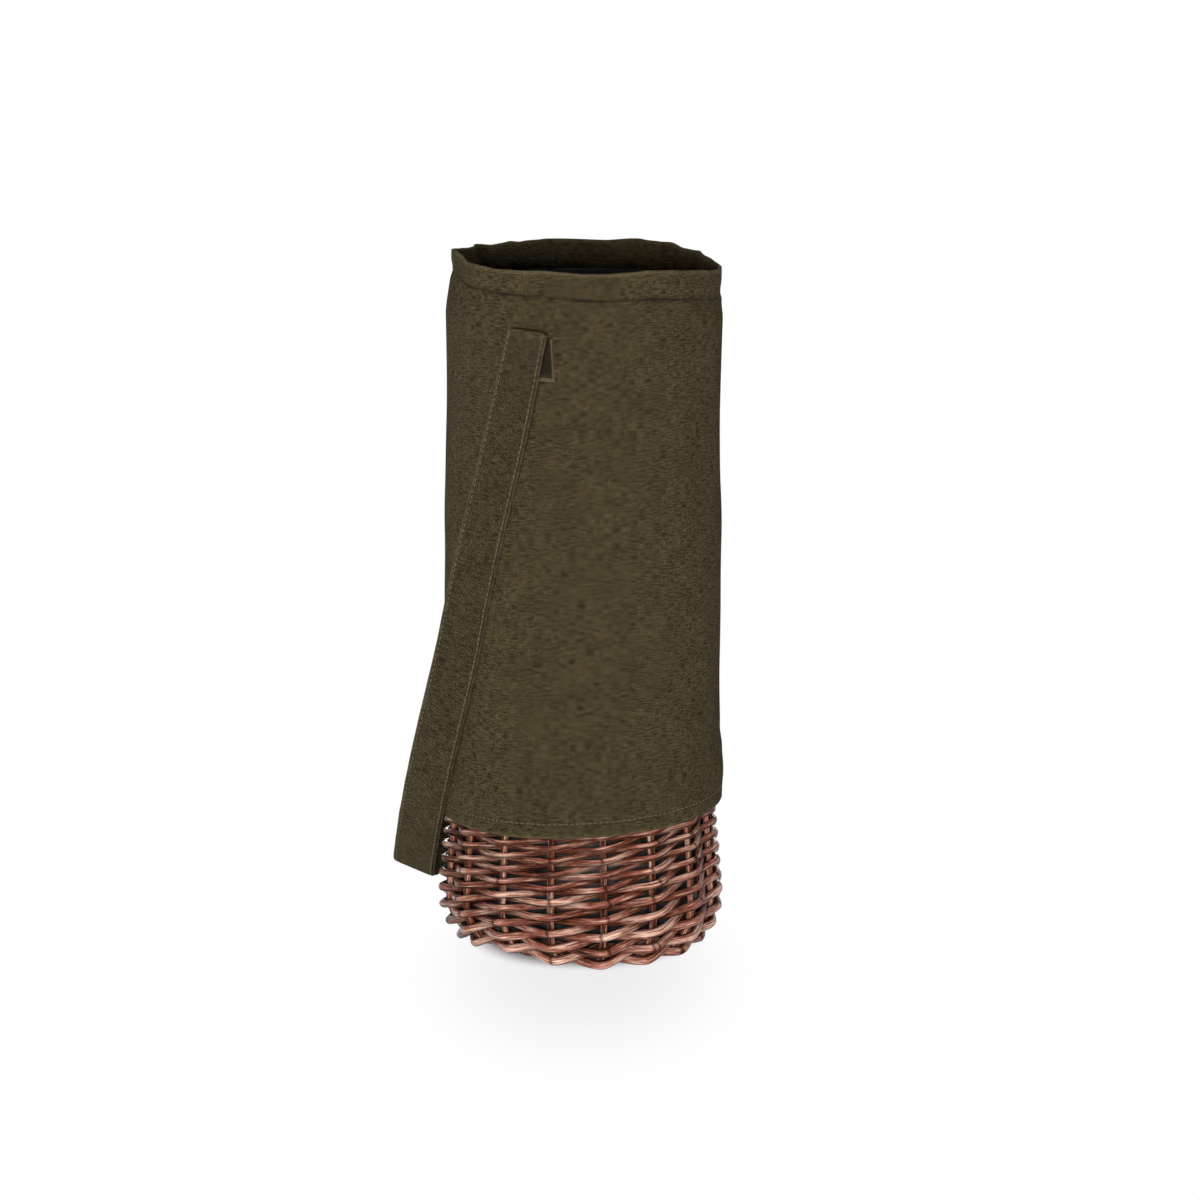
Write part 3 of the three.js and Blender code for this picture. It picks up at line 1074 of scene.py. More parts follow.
    def _stake_rod(self, axis: int, place: float, height: float) -> bmesh.types.BMesh:
        """A rod that crosses the base and ends as two stakes.

        Args:
            axis: The stake number that its layer points at.
            place: Its place in the layer, counted from the middle.
            height: The layer's height.

        Returns:
            The rod.
        """
        along = polar(1, self.stake_turn(axis), 0)
        across = polar(1, self.stake_turn(axis) + math.pi / 2, 0)
        offset = place * (self.stake_diameter + self.rod_gap)
        bend = offset / math.tan(place * FULL_TURN / self.stake_count) if place else 0.0
        middle = across * offset + Vector((0, 0, height))
        ahead = self._stake_half(axis + place, across * offset + along * bend, height)
        far = axis + self.stake_count / 2 - place
        behind = self._stake_half(far, across * offset - along * bend, height)
        if not place:
            ahead, behind = ahead[1:], behind[1:]
        points = [*reversed(behind), middle, *ahead]
        stations = []
        for i, point in enumerate(points):
            share = abs(i - len(ahead)) / len(ahead)
            diameter = self.stake_diameter + (self.stake_tip - self.stake_diameter) * share
            # a little painted shade on the whole stake rod
            stations.append(Station(point, diameter / 2, self.stake_painted_shade))
        return self.maker.rod(stations, Vector((0, 0, -1)))

    def weaver_diameter(self, passed: float) -> float:
        """A weaver's diameter after it has passed some stakes, from butt to tip."""
        taper = smoothstep(passed, 0, self.weaver_stakes)
        return self.butt + (self.tip - self.butt) * taper

    def weaver_climb(self, passed: float) -> float:
        """How far a weaver has climbed: at each stake by its thickness there and the gap.

        Args:
            passed: How many stakes it has passed.

        Returns:
            The length up the wall.
        """
        share = passed / self.weaver_stakes
        thick = (self.butt - self.tip) * (share - share**3 + share**4 / 2)
        return self.weaver_stakes * ((self.tip + self.rod_gap) * share + thick)

    def _weaver(self, start: int) -> bmesh.types.BMesh:
        """A wall weaver that starts behind a stake and goes in front of one, behind the next.

        Args:
            start: The stake's number.

        Returns:
            The rod.
        """
        stations = []
        for stake in range(self.weaver_stakes + 1):
            side = Side.OUTSIDE if stake % 2 else Side.INSIDE
            before = self.pass_share if stake else self.end_share
            after = self.pass_share if stake < self.weaver_stakes else self.end_share
            stops = [(stake - before, side), (stake + after, side)]
            if self.weaver_foot + self.weaver_climb(stake) < self.corner_length:
                stops.append((stake + 0.5, Side.MIDDLE))
            for passed, at in stops:
                diameter = self.weaver_diameter(passed)
                offset = at.value * ((diameter + self.stake_diameter) / 2 + self.touch)
                length = self.weaver_foot + self.weaver_climb(passed)
                place = self.wall_place(start + passed, length, offset)
                # passes behind the stakes get painted shade, passes in front none
                stations.append(Station(place, diameter / 2, 0.5 - 0.5 * at.value))
        return self.maker.rod(stations, polar(1, self.stake_turn(start), 0))

    def _lift(self, place: Vector) -> float:
        """How far the uneven foot of the hand weaving stands off the floor at a place.

        Args:
            place: A point of a rod.

        Returns:
            The distance, which is 0 under the base and higher up the wall.
        """
        turn = math.atan2(place.y, place.x)
        uneven = bump(turn_between(turn, self.lift_turn), self.lift_width)
        outer = smoothstep(place.xy.length, *self.lift_reach)
        return self.lift * uneven * outer * (1 - smoothstep(place.z, *self.lift_heights))

    def _base_weaver(self, order: int) -> bmesh.types.BMesh:
        """One of the two weavers that chase each other over and under the base's rods.

        Args:
            order: Which of them it is.

        Returns:
            The rod.
        """
        pitch = self.base_weaver + self.rod_gap
        stations = []
        for stake in range(self.base_weaver_stakes + 1):
            turns = stake / self.stake_count
            radius = self.base_weaver_start + pitch * (order + self.base_weavers * turns)
            side = -1 if (stake + order) % 2 else 1
            height = self.stake_height + side * self.base_offset
            place = polar(radius, self.stake_turn(stake), height)
            # painted shade on the whole base weaver
            stations.append(Station(place, self.base_weaver / 2, self.base_weaver_painted_shade))
        return self.maker.rod(stations, Vector((0, 0, -1)))


# Canvas sleeve


@dataclass(frozen=True)
class Fold:
    """A soft ridge or hollow of the canvas that runs along a slanting line.

    Attributes:
        turn: Its direction at the low end, in degrees from +X.
        low: The height of its low end.
        high: The height of its high end.
        slant: How far it turns on its way up, in degrees.
        width: Its half width along the canvas.
        height: How far it stands out, or lies in where negative.
    """

    turn: float
    low: float
    high: float
    slant: float
    width: float
    height: float

    def at(self, turn: float, height: float, radius: float) -> float:
        """How far the fold moves a point of the canvas outwards.

        Args:
            turn: The point's direction in radians.
            height: Its height.
            radius: The sleeve's radius there.

        Returns:
            The distance in millimetres.
        """
        share = (height - self.low) / (self.high - self.low)
        start, full, spent, end = FOLD_FADE
        if not start < share < end:
            return 0.0
        middle = math.radians(self.turn + self.slant * share)
        fades = smoothstep(share, start, full) * (1 - smoothstep(share, spent, end))
        return self.height * fades * bump(turn_between(turn, middle) * radius, self.width)


@dataclass(frozen=True)
class RimStation:
    """A place of the rim: its direction, and how far out and up it lies off a level circle."""

    turn: float
    out: float
    up: float


@dataclass(frozen=True)
class SeamPull:
    """How far a hem's stitches gather the canvas, sink into it and roll it in beside them."""

    gather: float
    groove: float
    roll: float


@dataclass
class SleeveForm:
    """The form that the canvas hangs in, which the hems, the liner and the tabs follow."""

    hem_bottom: float = 69.5
    hem_depth: float = 7.0
    rim_height: float = 340.0
    rim_hem: float = 12.2
    layer: float = 1.0
    free_height: float = 97.5
    drift: float = 1.7
    hem_tilt: float = 3.2
    seam_tilt: float = 2.3
    seam_reach: float = 9.0
    hem_fade: tuple[float, float] = (78.0, 135.0)
    rim_lean: tuple[float, float] = (28.0, 10.0)
    rim_rise: tuple[float, float] = (42.0, 3.0)
    rim_straight: float = 0.35
    rim_curved: float = 0.65
    slack_start: tuple[float, float] = (8.0, 25.0)
    slack: tuple[tuple[float, float, float, float], ...] = (
        (0.9, 3.2, 70.0, 0.0),
        (0.3, 7.5, 26.0, 40.0),
    )
    pulls: tuple[SeamPull, SeamPull] = (SeamPull(0.2, 0.35, 0.0), SeamPull(0.34, 0.5, 0.7))
    gathers: int = 58
    gather_drift: float = 9.0
    gather_reach: float = 5.0
    groove_width: float = 1.1
    roll_above: float = 2.5
    roll_width: float = 3.0
    viewer_turn: float = -68.5
    outline: tuple[tuple[float, float], ...] = (
        (69.5, 69.3), (83.0, 69.9), (95.0, 69.2), (106.0, 67.9), (124.0, 67.6), (205.0, 67.0),
        (290.0, 64.9), (340.0, 65.0),
    )
    waves: tuple[tuple[float, int, float, float, float], ...] = (
        (1.1, 2, 0.4, 97.5, 340.0),
        (0.6, 5, 1.9, 97.5, 340.0),
        (0.45, 9, 0.7, 97.5, 340.0),
        (0.35, 3, 2.2, 97.5, 124.0),
        (0.25, 7, 0.3, 97.5, 124.0),
    )
    folds: tuple[Fold, ...] = (
        Fold(-16.0, 110.0, 132.0, 13.0, 4.5, 0.9), Fold(-3.0, 128.0, 185.0, -9.0, 5.0, 0.8),
        Fold(6.0, 100.0, 150.0, 4.0, 6.0, -0.7), Fold(-45.0, 98.0, 112.0, 16.0, 9.0, -0.9),
        Fold(-80.0, 99.0, 116.0, -12.0, 10.0, -0.6), Fold(-122.0, 120.0, 250.0, 6.0, 9.0, -0.7),
        Fold(-143.0, 100.0, 300.0, 10.0, 12.0, 0.9), Fold(150.0, 100.0, 230.0, -14.0, 9.0, 0.8),
        Fold(108.0, 98.0, 150.0, 12.0, 8.0, -0.8), Fold(62.0, 105.0, 260.0, 8.0, 10.0, 0.8),
        Fold(35.0, 98.0, 140.0, -10.0, 7.0, -0.7), Fold(90.0, 318.0, 346.0, -3.0, 2.2, 1.9),
        Fold(72.0, 314.0, 346.0, 4.0, 2.8, -1.8), Fold(54.0, 320.0, 346.0, -2.0, 2.4, 1.6),
        Fold(164.0, 318.0, 346.0, 3.0, 2.2, 1.8), Fold(146.0, 316.0, 346.0, -3.0, 2.8, -1.6),
        Fold(128.0, 320.0, 346.0, 2.0, 2.4, 1.5),
    )
    rim: tuple[RimStation, ...] = tuple(
        RimStation(*row)
        for row in (
            (0, 0.2, -0.9), (9, 0.1, -1.1), (20, 0.0, -0.8), (28, -0.5, -0.1), (38, 0.0, -0.6),
            (51, -0.6, -1.9), (60, -1.4, -2.8), (70, -2.0, -4.1), (81, -1.2, -4.6), (90, 0.7, -4.4),
            (98, -0.8, -3.6), (110, -3.2, -2.4), (121, -1.2, -1.6), (131, -0.6, -1.3),
            (139, 0.0, 0.7), (149, -0.6, 0.6), (159, 0.5, 1.1), (171, -0.2, 0.0), (194, 0.2, 0.6),
            (205, 0.0, 0.3), (212, -0.3, 0.0), (216, 0.4, 0.5), (221, -0.4, 0.0), (227, -0.6, -0.4),
            (234, 0.5, 0.5), (241, -0.9, 0.2), (250, -3.0, 0.9), (262, -3.2, 2.0), (270, -2.6, 2.9),
            (279, -3.6, 3.9), (289, -3.6, 2.8), (297, -2.0, 0.3), (303, -0.9, 0.1),
            (309, -0.4, 0.1), (319, 0.0, -0.6), (325, 0.3, -0.4), (332, 0.0, -0.4), (343, 0.2, 0.1),
            (350, 0.0, -0.3),
        )
    )

    @property
    def stitch_heights(self) -> tuple[float, float]:
        """The heights of the hems' stitch lines."""
        return self.hem_bottom + self.hem_depth, self.rim_height - self.rim_hem

    def radius(self, height: float) -> float:
        """The sleeve's plain radius, which runs smoothly from station to station.

        Args:
            height: The height along the canvas.

        Returns:
            The radius in millimetres.
        """
        stations = self.outline
        for (low, near), (high, far) in zip(stations, stations[1:]):
            if height <= high:
                return near + (far - near) * smoothstep(height, low, high)
        return stations[-1][1]

    def rim_at(self, turn: float) -> tuple[float, float]:
        """How far out and up the rim lies off a level circle.

        Args:
            turn: The direction in radians.

        Returns:
            The distances out and up.
        """
        seen = (math.degrees(turn) - self.viewer_turn) % 360
        last = self.rim[-1]
        stations = [RimStation(last.turn - 360, last.out, last.up), *self.rim]
        first = self.rim[0]
        stations.append(RimStation(first.turn + 360, first.out, first.up))
        for near, far in zip(stations, stations[1:]):
            if seen <= far.turn:
                share = (seen - near.turn) / (far.turn - near.turn)
                curved = self.rim_curved * smoothstep(share, 0, 1)
                share = self.rim_straight * share + curved
                out = near.out + (far.out - near.out) * share
                return out, near.up + (far.up - near.up) * share
        return last.out, last.up

    def point(self, turn: float, height: float, depth: float) -> Vector:
        """A point of the canvas.

        Args:
            turn: Its direction in radians.
            height: Its height along the canvas.
            depth: How far it lies in from the outer face.

        Returns:
            The point.
        """
        radius = self.radius(height)
        loose = smoothstep(height, self.free_height, self.rim_height)
        out = sum(
            size * smoothstep(height, low, high) * math.sin(count * turn + start)
            for size, count, start, low, high in self.waves
        )
        out += sum(fold.at(turn, height, radius) for fold in self.folds)
        out += self._slack(turn, height) + self._puckers(turn, height)
        rim_out, rim_up = self.rim_at(turn)
        out += rim_out * self._near_rim(height, self.rim_lean)
        aside = math.sin(turn - math.radians(self.viewer_turn))
        up = rim_up * self._near_rim(height, self.rim_rise)
        up += self.hem_tilt * aside * (1 - smoothstep(height, *self.hem_fade))
        up -= self.seam_tilt * aside * bump(height - self.stitch_heights[1], self.seam_reach)
        drift = polar(self.drift * loose, math.radians(self.viewer_turn + 90), 0)
        return polar(radius + out - depth, turn, height + up) + drift

    def _near_rim(self, height: float, span: tuple[float, float]) -> float:
        """A step up towards the rim, from its start and end in millimetres below the rim."""
        return smoothstep(height, self.rim_height - span[0], self.rim_height - span[1])

    def _slack(self, turn: float, height: float) -> float:
        """The loose canvas's small soft unevenness, longer up and down than round.

        Args:
            turn: The direction in radians.
            height: The height along the canvas.

        Returns:
            How far it moves the canvas outwards.
        """
        below, above = self.slack_start
        free = smoothstep(height, self.free_height - below, self.free_height + above)
        return free * sum(
            size * unevenness(turn, patches, height / length + start)
            for size, patches, length, start in self.slack
        )

    def _puckers(self, turn: float, height: float) -> float:
        """The gathers beside the hems' stitches, and the groove that the stitches pull in.

        Args:
            turn: The direction in radians.
            height: The height along the canvas.

        Returns:
            How far they move the canvas outwards.
        """
        total = 0.0
        for number, (stitch, pull) in enumerate(zip(self.stitch_heights, self.pulls)):
            away = height - stitch
            drawn = 0.5 + unevenness(turn, 2, number)
            phase = self.gathers * turn + self.gather_drift * unevenness(turn, 4, 5)
            total += pull.gather * drawn * math.sin(phase) * bump(away, self.gather_reach)
            total -= pull.groove * bump(away, self.groove_width)
            total -= pull.roll * bump(away - self.roll_above, self.roll_width)
        return total


def cut_cloth(columns: int, lengths: list[float], width: float) -> bmesh.types.BMesh:
    """Cuts a flat cloth, with a row of points at each length.

    Args:
        columns: How many faces lie side by side.
        lengths: Where its rows lie, in millimetres.
        width: The cloth's width in millimetres.

    Returns:
        The flat cloth, with its flat coordinates in its UV map. A point's x runs from 0 to 1
        across the cloth and its y is the number of its row.
    """
    shape = bmesh.new()
    rows = len(lengths) - 1
    bmesh.ops.create_grid(shape, x_segments=columns, y_segments=rows, size=0.5)
    flat = shape.loops.layers.uv.new(CLOTH_MAP)
    for corner in shape.verts:
        corner.co = Vector((corner.co.x + 0.5, round((corner.co.y + 0.5) * rows), 0.0))
    for face in shape.faces:
        for loop in face.loops:
            place = loop.vert.co
            loop[flat].uv = (place.x * width * MM, lengths[round(place.y)] * MM)
    return shape


@dataclass
class Sleeve:
    """The canvas sleeve: one tube with a hem folded in at each end, sewn to the willow."""

    form: SleeveForm
    girth: float = 425.0
    cut_length: float = 290.5
    columns: int = 264
    cloth: float = 0.8
    seam_turn: float = math.pi / 2
    stitch_step: float = 2.7
    stitch_wander: float = 0.3
    thread_proud: float = 0.02
    fold_steps: int = 5
    row_counts: tuple[int, int, int, int, int] = (7, 10, 84, 14, 9)
    past_stitch: float = 1.2
    beside_stitch: float = 3.5
    rubbed_widths: tuple[float, float] = (1.1, 1.0)
    rubbed_hem: float = 0.6
    # widths and depths of the painted shade along the hem's and the rim's stitch grooves
    seam_shade_widths: tuple[float, float] = (0.8, 0.75)
    seam_shade_depths: tuple[float, float] = (0.5, 1.2)

    def build(self, finishes: Finishes) -> None:
        """Builds the sleeve and its stitching.

        Args:
            finishes: The materials.
        """
        rows = self._rows()
        lengths = [0.0]
        for (height, depth), (next_height, next_depth) in zip(rows, rows[1:]):
            lengths.append(lengths[-1] + math.hypot(next_height - height, next_depth - depth))
        shape = cut_cloth(self.columns, lengths, self.girth)
        wear_and_highlight = shape.verts.layers.float.new(WEAR_AND_HIGHLIGHT)
        seam = shape.verts.layers.float.new(PAINTED_CLOTH_SHADE)
        for corner in shape.verts:
            turn = self.seam_turn + corner.co.x * FULL_TURN
            height, depth = rows[round(corner.co.y)]
            corner[wear_and_highlight] = self._worn(turn, height, depth)
            # painted shade along the hems' stitch grooves
            corner[seam] = self._painted_seam_shade(turn, height)
            corner.co = self.form.point(turn, height, depth)
        bmesh.ops.remove_doubles(shape, verts=shape.verts, dist=0.01)
        bmesh.ops.recalc_face_normals(shape, faces=shape.faces)
        sleeve = finished_piece(
            "sewn_canvas_sleeve", shape, finishes.canvas, "basket", ("canvas_sleeve",)
        )
        thick = sleeve.modifiers.new("cloth_thickness", "SOLIDIFY")
        thick.thickness = self.cloth * MM
        thick.offset = 0.0
        threads = [
            self._hem_stitches("hem_stitches_bottom", 0, finishes.pale_thread),
            self._hem_stitches("hem_stitches_rim", 1, finishes.dark_thread),
        ]

    def _rows(self) -> list[tuple[float, float]]:
        """The cloth's rows from the bottom hem's cut edge, round both folds, to the rim hem's.

        Returns:
            Each row's height and its depth under the outer face.
        """
        form = self.form
        near, far = 0.5 * form.layer, 1.5 * form.layer
        low, high = form.hem_bottom + near, form.rim_height - near
        sewn, rim_sewn = form.stitch_heights
        above, below = sewn + self.beside_stitch, rim_sewn - self.beside_stitch
        hem, hem_face, wall, rim_face, rim = self.row_counts
        steps = range(1, self.fold_steps)
        rows = [(height, far) for height in spread(sewn + self.past_stitch, low, hem)]
        rows += [self._fold(low, -1, step) for step in steps]
        rows += [(height, near) for height in spread(low, above, hem_face)]
        rows += [(height, near) for height in spread(above, below, wall)[1:]]
        rows += [(height, near) for height in spread(below, high, rim_face)[1:]]
        rows += [self._fold(high, 1, step) for step in reversed(steps)]
        return rows + [(height, far) for height in spread(high, rim_sewn - self.past_stitch, rim)]

    def _fold(self, height: float, way: int, step: int) -> tuple[float, float]:
        """A row of the half circle that turns the cloth over at a hem's edge.

        Args:
            height: The height of the half circle's middle.
            way: 1 where the cloth turns over upwards, -1 where downwards.
            step: The row's number round the half circle, from its inner end.

        Returns:
            The row's height and its depth under the outer face.
        """
        angle = math.pi * step / self.fold_steps
        middle, half = self.form.layer, self.form.layer / 2
        return height + way * half * math.sin(angle), middle + half * math.cos(angle)

    def _worn(self, turn: float, height: float, depth: float) -> float:
        """How rubbed the cloth is: most on the two folded edges, in uneven stretches.

        Args:
            turn: The point's direction.
            height: Its height.
            depth: Its depth under the outer face.

        Returns:
            A share from 0 to 1.
        """
        at_rim, at_hem = self.rubbed_widths
        edge = bump(height - self.form.rim_height, at_rim)
        edge += self.rubbed_hem * bump(height - self.form.hem_bottom, at_hem)
        uneven = 0.75 + 0.5 * unevenness(turn, 6, depth)
        return min(1.0, edge * uneven)

    def _painted_seam_shade(self, turn: float, height: float) -> float:
        """The shade painted along the hems' stitch grooves, more at the rim's and in stretches.

        Args:
            turn: The point's direction.
            height: Its height.

        Returns:
            A share from 0 to 1.
        """
        low, high = self.form.stitch_heights
        (hem_width, rim_width), (hem_depth, rim_depth) = self.seam_shade_widths, self.seam_shade_depths
        stretch = 0.75 + 0.9 * unevenness(turn, 3, 8)
        fine = 0.8 + 0.8 * unevenness(turn, 30, 1)
        seam_shade = rim_depth * bump(height - high, rim_width) * stretch * fine
        seam_shade += hem_depth * bump(height - low, hem_width)
        return min(max(seam_shade, 0.0), 1.0)

    def _hem_stitches(
        self, name: str, number: int, thread: bpy.types.Material
    ) -> bpy.types.Object:
        """A line of lock stitches round the sleeve, each sunk in the groove that it pulls.

        Args:
            name: The piece's name.
            number: Which of the hems' stitch lines it is.
            thread: The thread's finish.

        Returns:
            The stitches, as one piece.
        """
        height = self.form.stitch_heights[number]
        count = round(self.girth / self.stitch_step)
        seam = StitchLine(share=0.64, radius=0.32)
        for i in range(count):
            turn = FULL_TURN * i / count
            wander = self.stitch_wander * unevenness(turn, 5, 9)
            here = self.form.point(turn, height + wander, -self.thread_proud)
            following = turn + FULL_TURN / count
            there = self.form.point(following, height + wander, -self.thread_proud)
            seam.add(here, there, polar(1, turn, 0))
        return finished_piece(name, seam.finished(), thread, "basket")


class StitchLine:
    """Short lock stitches in one mesh."""

    def __init__(self, share: float, radius: float) -> None:
        """Sets the stitches' form.

        Args:
            share: How much of the way from hole to hole the thread shows.
            radius: The thread's radius.
        """
        self.shape = bmesh.new()
        self.share = share
        self.radius = radius
        pattern = bmesh.new()
        bmesh.ops.create_uvsphere(pattern, u_segments=6, v_segments=4, radius=1.0)
        self.pattern = bpy.data.meshes.new("stitch")
        pattern.to_mesh(self.pattern)
        pattern.free()

    def add(self, start: Vector, end: Vector, outward: Vector) -> None:
        """Adds one stitch.

        Args:
            start: The hole that the thread comes out of.
            end: The next hole.
            outward: The cloth's normal.
        """
        along = (end - start).normalized()
        across = outward.cross(along).normalized()
        outward = along.cross(across)
        axes = Matrix((across, outward, along)).transposed().to_4x4()
        half = (end - start).length * self.share / 2
        size = Matrix.Diagonal((self.radius, self.radius, half, 1.0))
        stitch = self.pattern.copy()
        stitch.transform(Matrix.Translation((start + end) / 2) @ axes @ size)
        self.shape.from_mesh(stitch)
        bpy.data.meshes.remove(stitch)

    def finished(self) -> bmesh.types.BMesh:
        """Ends the line, after which the pattern is gone.

        Returns:
            All its stitches in one mesh.
        """
        bpy.data.meshes.remove(self.pattern)
        return self.shape


# Liner


@dataclass
class Liner:
    """The insulated liner: a wall and a floor of coated lining over foam."""

    form: SleeveForm
    radius: float = 55.9
    thickness: float = 3.0
    foot: float = 10.4
    flare_bottom: float = 101.0
    flare_top: float = 114.0
    edge: float = 0.6
    belly: float = 3.0
    belly_height: float = 38.0
    belly_reach: float = 24.0
    under_stitch: float = 1.6
    wall_crinkle: float = 0.25
    floor_crinkle: float = 0.35
    floor_patch: float = 18.0
    floor_seam: float = 0.5
    floor_seam_reach: float = 3.0
    slimmer: float = 0.8  # how much thinner than the thickness both panels are drawn
    columns: int = 120
    rows: int = 64
    floor_rings: int = 14

    def build(self, finishes: Finishes) -> None:
        """Builds the wall and the floor.

        Args:
            finishes: The materials.
        """
        top = self.form.stitch_heights[1] - self.under_stitch
        heights = spread(self.foot + self.thickness, top, self.rows)
        lengths = [height - heights[0] for height in heights]
        girth = FULL_TURN * self.radius
        shape = cut_cloth(self.columns, lengths, girth)
        for corner in shape.verts:
            turn = corner.co.x * FULL_TURN
            corner.co = self._wall_point(turn, heights[round(corner.co.y)])
        bmesh.ops.remove_doubles(shape, verts=shape.verts, dist=0.01)
        bmesh.ops.recalc_face_normals(shape, faces=shape.faces)
        wall = finished_piece(
            "sewn_liner_wall", shape, finishes.film, "basket", ("liner_wall",)
        )
        self._thicken(wall, finishes)
        shape = bmesh.new()
        across = self.radius - self.thickness - self.edge
        bmesh.ops.create_circle(
            shape, cap_ends=True, cap_tris=True, segments=self.columns, radius=across
        )
        spokes = [edge for edge in shape.edges if len(edge.link_faces) == 2]
        bmesh.ops.subdivide_edges(shape, edges=spokes, cuts=self.floor_rings)
        self._dish(shape, across)
        floor = finished_piece(
            "sewn_liner_floor", shape, finishes.lining, "basket", ("liner_floor",)
        )
        self._thicken(floor, finishes)

    def _wall_point(self, turn: float, height: float) -> Vector:
        """A point of the wall's middle: full in the willow's belly, along the canvas above.

        Args:
            turn: The direction in radians.
            height: The height.

        Returns:
            The point.
        """
        inset = self.thickness / 2 + self.wall_crinkle * unevenness(turn, 9, height / 14)
        full = self.belly * bump(height - self.belly_height, self.belly_reach)
        straight = polar(self.radius + full - inset, turn, height)
        hung = self.form.point(turn, height, self.form.layer + self.edge + inset)
        hung.z = height
        return straight.lerp(hung, smoothstep(height, self.flare_bottom, self.flare_top))

    def _dish(self, shape: bmesh.types.BMesh, across: float) -> None:
        """Gives the flat floor soft hollows and a seam that is drawn down round its edge.

        Args:
            shape: The flat floor.
            across: Its radius.
        """
        patch = self.floor_patch
        for corner in shape.verts:
            place = Vector((corner.co.x / patch, corner.co.y / patch, 3.0))
            uneven = self.floor_crinkle * noise.noise(place)
            inwards = across - corner.co.xy.length
            drawn = self.floor_seam * bump(inwards, self.floor_seam_reach)
            corner.co.z = self.foot + self.thickness / 2 + uneven - drawn

    def _thicken(self, panel: bpy.types.Object, finishes: Finishes) -> None:
        """Gives a panel its foam's thickness, and the lining's black cloth on its inner face; that
        black is guessed and also stands for the shade inside the basket, as painted shade.

        Args:
            panel: The wall or the floor.
            finishes: The materials.
        """
        panel.data.materials.append(finishes.lining)
        foam = panel.modifiers.new("foam_thickness", "SOLIDIFY")
        foam.material_offset = 1
        foam.thickness = (self.thickness - self.slimmer) * MM
        foam.offset = 0.0


# Carry strap


